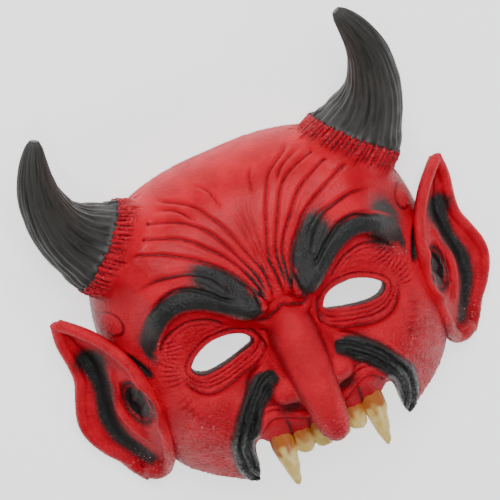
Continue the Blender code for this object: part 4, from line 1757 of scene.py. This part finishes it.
class Nodes:
    """A short way to write a material's nodes."""

    def __init__(self, name: str) -> None:
        """Start a material with its shader.

        Args:
            name: The material's name.
        """
        self.material = bpy.data.materials.new(name)
        self.material.use_nodes = True
        self.tree = self.material.node_tree
        self.shader = self.tree.nodes["Principled BSDF"]
        self.object = self.tree.nodes.new("ShaderNodeTexCoord").outputs["Object"]

    def put(self, socket: bpy.types.NodeSocket, value: object) -> None:
        """Link a socket or set it to a plain value.

        Args:
            socket: The socket to fill.
            value: Another socket, a number or a colour.
        """
        if isinstance(value, bpy.types.NodeSocket):
            self.tree.links.new(value, socket)
        elif isinstance(value, tuple) and len(value) == 3 and socket.type == "RGBA":
            socket.default_value = (*value, 1.0)
        else:
            socket.default_value = value

    def layer(self, layer: Layer) -> bpy.types.NodeSocket:
        """Read a painted layer.

        Args:
            layer: The layer to read.

        Returns:
            Its value's socket.
        """
        node = self.tree.nodes.new("ShaderNodeAttribute")
        node.attribute_name = layer.value
        return node.outputs["Fac"]

    def vector(self, name: str) -> bpy.types.NodeSocket:
        """Read a vector kept on the points.

        Args:
            name: The attribute's name.

        Returns:
            Its vector's socket.
        """
        node = self.tree.nodes.new("ShaderNodeAttribute")
        node.attribute_name = name
        return node.outputs["Vector"]

    def noise(self, scale: float, detail: float = 2.0, rough: float = 0.5,
              vector: bpy.types.NodeSocket | None = None) -> bpy.types.NodeSocket:
        """Return a noise value about 0.5.

        Args:
            scale: The noise's scale.
            detail: Its number of finer layers.
            rough: How strong those layers are.
            vector: The places, or the object's own if None.

        Returns:
            The noise's socket.
        """
        node = self.tree.nodes.new("ShaderNodeTexNoise")
        self.put(node.inputs["Vector"], vector or self.object)
        node.inputs["Scale"].default_value = scale
        node.inputs["Detail"].default_value = detail
        node.inputs["Roughness"].default_value = rough
        return node.outputs["Fac"]

    def math(self, operation: str, a: object, b: object = 0.0) -> bpy.types.NodeSocket:
        """Return the result of a sum on two values.

        Args:
            operation: The node's operation.
            a: The first socket or number.
            b: The second socket or number.

        Returns:
            The result's socket.
        """
        node = self.tree.nodes.new("ShaderNodeMath")
        node.operation = operation
        self.put(node.inputs[0], a)
        self.put(node.inputs[1], b)
        return node.outputs[0]

    def span(self, value: object, low: float, high: float, start: float = 0.0,
             end: float = 1.0) -> bpy.types.NodeSocket:
        """Return a value carried smoothly from one span to another.

        Args:
            value: The socket or number to carry.
            low: Where the old span starts.
            high: Where it ends.
            start: Where the new span starts.
            end: Where it ends.

        Returns:
            The result's socket.
        """
        node = self.tree.nodes.new("ShaderNodeMapRange")
        node.interpolation_type = "SMOOTHSTEP"
        for socket, number in zip(node.inputs, (value, low, high, start, end)):
            self.put(socket, number)
        return node.outputs["Result"]

    def mix(self, share: object, a: object, b: object) -> bpy.types.NodeSocket:
        """Return a colour mixed from two.

        Args:
            share: How much of the second colour is taken.
            a: The first colour.
            b: The second colour.

        Returns:
            The colour's socket.
        """
        node = self.tree.nodes.new("ShaderNodeMix")
        node.data_type = "RGBA"
        self.put(node.inputs["Factor"], share)
        self.put(node.inputs[6], a)
        self.put(node.inputs[7], b)
        return node.outputs[2]

    def relief(self, height: bpy.types.NodeSocket, strength: float, distance: float) -> None:
        """Give the shader and its coat a fine relief.

        Args:
            height: The relief's height.
            strength: How strongly it tells.
            distance: Its depth in metres.
        """
        node = self.tree.nodes.new("ShaderNodeBump")
        node.inputs["Strength"].default_value = strength
        node.inputs["Distance"].default_value = distance
        self.put(node.inputs["Height"], height)
        self.put(self.shader.inputs["Normal"], node.outputs["Normal"])
        self.put(self.shader.inputs["Coat Normal"], node.outputs["Normal"])

    def set(self, **values: object) -> None:
        """Set the shader's sockets, named with underscores for spaces."""
        for name, value in values.items():
            self.put(self.shader.inputs[name.replace("_", " ")], value)


@dataclass(frozen=True)
class SkinFinish:
    """Glossy deep red paint on foam, airbrushed with black, with painted shade and painted glints."""

    deep_red: Point3 = (0.53, 0.001, 0.014)
    bright_red: Point3 = (0.68, 0.003, 0.022)
    # Painted shade in creases, hollows and on steep sides.
    shade_red: Point3 = (0.035, 0.0006, 0.001)
    black: Point3 = (0.010, 0.011, 0.0105)
    # Painted glints: pale flecks on the grain that stand in for highlights.
    painted_glint: Point3 = (0.85, 0.42, 0.40)
    lining: Point3 = (0.005, 0.0010, 0.0010)
    mottle_scale: float = 75.0
    speckle_scale: float = 900.0
    spray_scale: float = 850.0
    grain_scale: float = 780.0
    gloss_scale: float = 300.0
    relief_scale: float = 820.0
    relief_depth: float = 0.0022
    coat_roughness: float = 0.1
    specular: float = 0.12

    def material(self) -> bpy.types.Material:
        """Return the skin's material.

        Returns:
            The material, on which the black, the painted shade, PEBBLE and LINING tell; the grain also
            carries painted glints.
        """
        nodes = Nodes("red_foam_paint")
        mottle = nodes.noise(self.mottle_scale, 3)
        red = nodes.mix(nodes.span(mottle, 0.35, 0.65), self.deep_red, self.bright_red)
        speckle = nodes.noise(self.speckle_scale, 2, 0.7)
        # Painted shade, speckled.
        crease = nodes.math("MULTIPLY", nodes.layer(Layer.CREASE), nodes.span(speckle, 0.2, 0.7, 0.8, 1.1))
        red = nodes.mix(nodes.span(crease, 0.05, 0.9), red, self.shade_red)
        mist = nodes.math("SUBTRACT", nodes.noise(self.spray_scale, 4, 0.75), 0.5)
        lay_black = nodes.math("ADD", nodes.layer(Layer.BLACK_AND_SHADE), nodes.math("MULTIPLY", mist, 0.9))
        black_and_shade = nodes.span(lay_black, 0.12, 0.9)
        # Painted glints on the grain, where the skin is grainiest.
        grainy = nodes.span(nodes.layer(Layer.PEBBLE), 0.55, 1.0)
        grain = nodes.noise(self.grain_scale, 1)
        grain = nodes.math("ADD", grain, nodes.math("MULTIPLY", grainy, 0.07))
        painted_glint = nodes.math("MULTIPLY", nodes.span(grain, 0.68, 0.8), nodes.math("MULTIPLY", grainy, 0.6))
        colour = nodes.mix(painted_glint, nodes.mix(black_and_shade, red, self.black), self.painted_glint)
        colour = nodes.mix(nodes.layer(Layer.LINING), colour, self.lining)
        rough = nodes.span(nodes.layer(Layer.LINING), 0.0, 1.0, 0.42, 0.8)
        rough = nodes.math("ADD", rough, nodes.span(nodes.noise(self.gloss_scale, 2), 0.3, 0.7, -0.06, 0.08))
        coat = nodes.math("ADD", nodes.span(nodes.layer(Layer.PEBBLE), 0.15, 1.0, 0.12, 0.42),
                          nodes.math("MULTIPLY", black_and_shade, 0.35))
        coat = nodes.math("MULTIPLY", coat, nodes.span(nodes.layer(Layer.LINING), 0.0, 1.0, 1.0, 0.0))
        nodes.set(Base_Color=colour, Roughness=rough, Coat_Weight=coat,
                  Coat_Roughness=self.coat_roughness, Specular_IOR_Level=self.specular)
        relief = nodes.noise(self.relief_scale, 3, 0.6)
        relief = nodes.math("MULTIPLY", relief, nodes.layer(Layer.PEBBLE))
        nodes.relief(relief, 1.0, self.relief_depth)
        return nodes.material


@dataclass(frozen=True)
class HornFinish:
    """Satin charcoal paint, streaked along the horn, with painted shade in its cuts."""

    charcoal: Point3 = (0.027, 0.026, 0.023)
    worn: Point3 = (0.044, 0.042, 0.037)
    # Painted shade in the cuts.
    crease: Point3 = (0.010, 0.010, 0.010)
    streak_scale: float = 5.0
    fibre_scale: float = 9.0
    dust_scale: float = 900.0
    relief_depth: float = 0.0005
    coat: float = 0.15
    coat_roughness: float = 0.25

    def material(self) -> bpy.types.Material:
        """Return the horns' material.

        Returns:
            The material, streaked by the points' grain.
        """
        nodes = Nodes("horn_charcoal")
        grain = nodes.vector("grain")
        streak = nodes.noise(self.streak_scale, 4, 0.65, grain)
        colour = nodes.mix(nodes.span(streak, 0.4, 0.72), self.charcoal, self.worn)
        colour = nodes.mix(nodes.layer(Layer.CREASE), colour, self.crease)
        nodes.set(Base_Color=colour, Roughness=nodes.span(streak, 0.3, 0.7, 0.38, 0.52),
                  Coat_Weight=self.coat, Coat_Roughness=self.coat_roughness)
        fibre = nodes.noise(self.fibre_scale, 3, 0.6, grain)
        fine = nodes.math("ADD", fibre, nodes.math("MULTIPLY", nodes.noise(self.dust_scale, 2), 0.3))
        nodes.relief(fine, 0.5, self.relief_depth)
        return nodes.material


@dataclass(frozen=True)
class ToothFinish:
    """Cream paint, stained orange brown at the roots."""

    cream: Point3 = (0.78, 0.53, 0.12)
    pale: Point3 = (0.86, 0.66, 0.24)
    root: Point3 = (0.45, 0.12, 0.012)
    patch_scale: float = 260.0
    relief_scale: float = 600.0
    relief_depth: float = 0.0004
    coat: float = 0.12
    coat_roughness: float = 0.2

    def material(self) -> bpy.types.Material:
        """Return the teeth's material.

        Returns:
            The material, on which STAIN tells.
        """
        nodes = Nodes("tooth_paint")
        patch = nodes.noise(self.patch_scale, 3, 0.6)
        colour = nodes.mix(nodes.span(patch, 0.35, 0.65), self.cream, self.pale)
        stain = nodes.math("MULTIPLY", nodes.layer(Layer.STAIN), nodes.span(patch, 0.25, 0.6, 0.75, 1.05))
        colour = nodes.mix(nodes.span(stain, 0.05, 0.8), colour, self.root)
        nodes.set(Base_Color=colour, Roughness=nodes.span(patch, 0.3, 0.7, 0.36, 0.5),
                  Coat_Weight=self.coat, Coat_Roughness=self.coat_roughness)
        nodes.relief(nodes.noise(self.relief_scale, 2), 0.3, self.relief_depth)
        return nodes.material


@dataclass(frozen=True)
class FloorFinish:
    """White lit table top."""

    white: Point3 = (0.86, 0.86, 0.86)
    roughness: float = 0.9
    glow: float = 1.3

    def material(self) -> bpy.types.Material:
        """Return the floor's material.

        Returns:
            The material, which glows a little so that the table looks white.
        """
        nodes = Nodes("white_table")
        nodes.set(Base_Color=self.white, Roughness=self.roughness,
                  Emission_Color=(1.0, 1.0, 1.0), Emission_Strength=self.glow)
        return nodes.material


# Studio

@dataclass(frozen=True)
class Lamp:
    """A soft round light: its name, place and size in metres, and power in watts."""

    name: str
    place: Point3
    size: float
    watts: float


@dataclass
class Studio:
    """The white table, the soft lights and the camera that looks down on the mask."""

    turn: float = math.radians(5.0)
    lean: float = math.radians(20.0)
    roll: float = math.radians(22.2)
    distance: float = 0.9
    aim: Point3 = (-0.0029, 0.0153, 0.040)
    pixels_per_mm: float = 2.02
    frame_pixels: int = 500
    sensor: float = 36.0
    floor_cells: int = 8
    floor_half_size: float = 3.0
    floor_drop: float = 0.0004
    world_strength: float = 0.16
    lamps: tuple[Lamp, ...] = (
        Lamp("key", (0.1, 0.8, 1.0), 0.8, 13.5),
        Lamp("left_fill", (-0.9, -0.1, 0.8), 1.2, 1.2),
        Lamp("front_fill", (0.5, -0.9, 0.7), 0.16, 3.0),
        Lamp("glint", (-0.25, 0.1, 1.2), 0.1, 1.6),
    )

    def camera(self) -> None:
        """Place the camera at the photograph's angle."""
        back = np.array([-math.sin(self.turn) * math.cos(self.lean), math.sin(self.lean),
                         math.cos(self.turn) * math.cos(self.lean)])
        right = np.array([math.cos(self.turn), 0, math.sin(self.turn)])
        up = np.cross(back, right)
        rolled = math.cos(self.roll) * right - math.sin(self.roll) * up
        rolled_up = math.sin(self.roll) * right + math.cos(self.roll) * up
        data = bpy.data.cameras.new("camera")
        data.sensor_width = self.sensor
        data.lens = self.pixels_per_mm / MM * self.distance / self.frame_pixels * self.sensor
        camera = bpy.data.objects.new("camera", data)
        place = np.eye(4)
        place[:3, :4] = np.column_stack([rolled, rolled_up, back, np.array(self.aim) + back * self.distance])
        camera.matrix_world = Matrix(place.tolist())
        bpy.context.scene.collection.objects.link(camera)
        bpy.context.scene.camera = camera

    def floor(self) -> None:
        """Lay the white table top under the mask."""
        made = bmesh.new()
        bmesh.ops.create_grid(made, x_segments=self.floor_cells, y_segments=self.floor_cells,
                              size=self.floor_half_size)
        mesh = bpy.data.meshes.new("floor")
        made.to_mesh(mesh)
        made.free()
        mesh.materials.append(FloorFinish().material())
        floor = bpy.data.objects.new("floor", mesh)
        floor.location.z = -self.floor_drop
        bpy.context.scene.collection.objects.link(floor)

    def hang(self, lamp: Lamp) -> None:
        """Hang a soft light that faces the mask.

        Args:
            lamp: The light's name, place, size and power.
        """
        data = bpy.data.lights.new(lamp.name, "AREA")
        data.shape = "DISK"
        data.size = lamp.size
        data.energy = lamp.watts
        light = bpy.data.objects.new(lamp.name, data)
        light.location = lamp.place
        light.rotation_euler = (-Vector(lamp.place)).to_track_quat("-Z", "Y").to_euler()
        bpy.context.scene.collection.objects.link(light)

    def build(self) -> None:
        """Set up the table, lights, surroundings and camera."""
        self.camera()
        self.floor()
        for lamp in self.lamps:
            self.hang(lamp)
        world = bpy.data.worlds.new("soft_white")
        world.use_nodes = True
        sky = world.node_tree.nodes["Background"]
        sky.inputs["Color"].default_value = (1, 1, 1, 1)
        sky.inputs["Strength"].default_value = self.world_strength
        bpy.context.scene.world = world


def main() -> None:
    """Build the mask's pieces and the studio."""
    logging.basicConfig(level=logging.INFO, format="%(message)s")
    tool, form, horn, teeth = SweptForm(), FaceForm(), Horn(), Teeth()
    skin_paint, horn_paint, tooth_paint = (SkinFinish().material(), HornFinish().material(),
                                           ToothFinish().material())
    skin = FaceSkin(form, horn).mesh(tool, Carving(form, horn))
    as_piece("mask_skin", skin, skin_paint)
    ear, fluted = Ear().mesh(tool), horn.mesh(tool)
    for side in Side:
        name = side.name.lower()
        own_ear = ear.copy() if side is Side.LEFT else mirrored(ear)
        own_horn = fluted.copy() if side is Side.LEFT else mirrored(fluted)
        as_piece(f"ear_{name}", own_ear, skin_paint)
        as_piece(f"horn_{name}", own_horn, horn_paint)
        as_piece(f"fang_{name}", teeth.fang(tool, side), tooth_paint)
    as_piece("incisors", teeth.incisors(tool), tooth_paint)
    Studio().build()


if __name__ == "__main__":
    main()
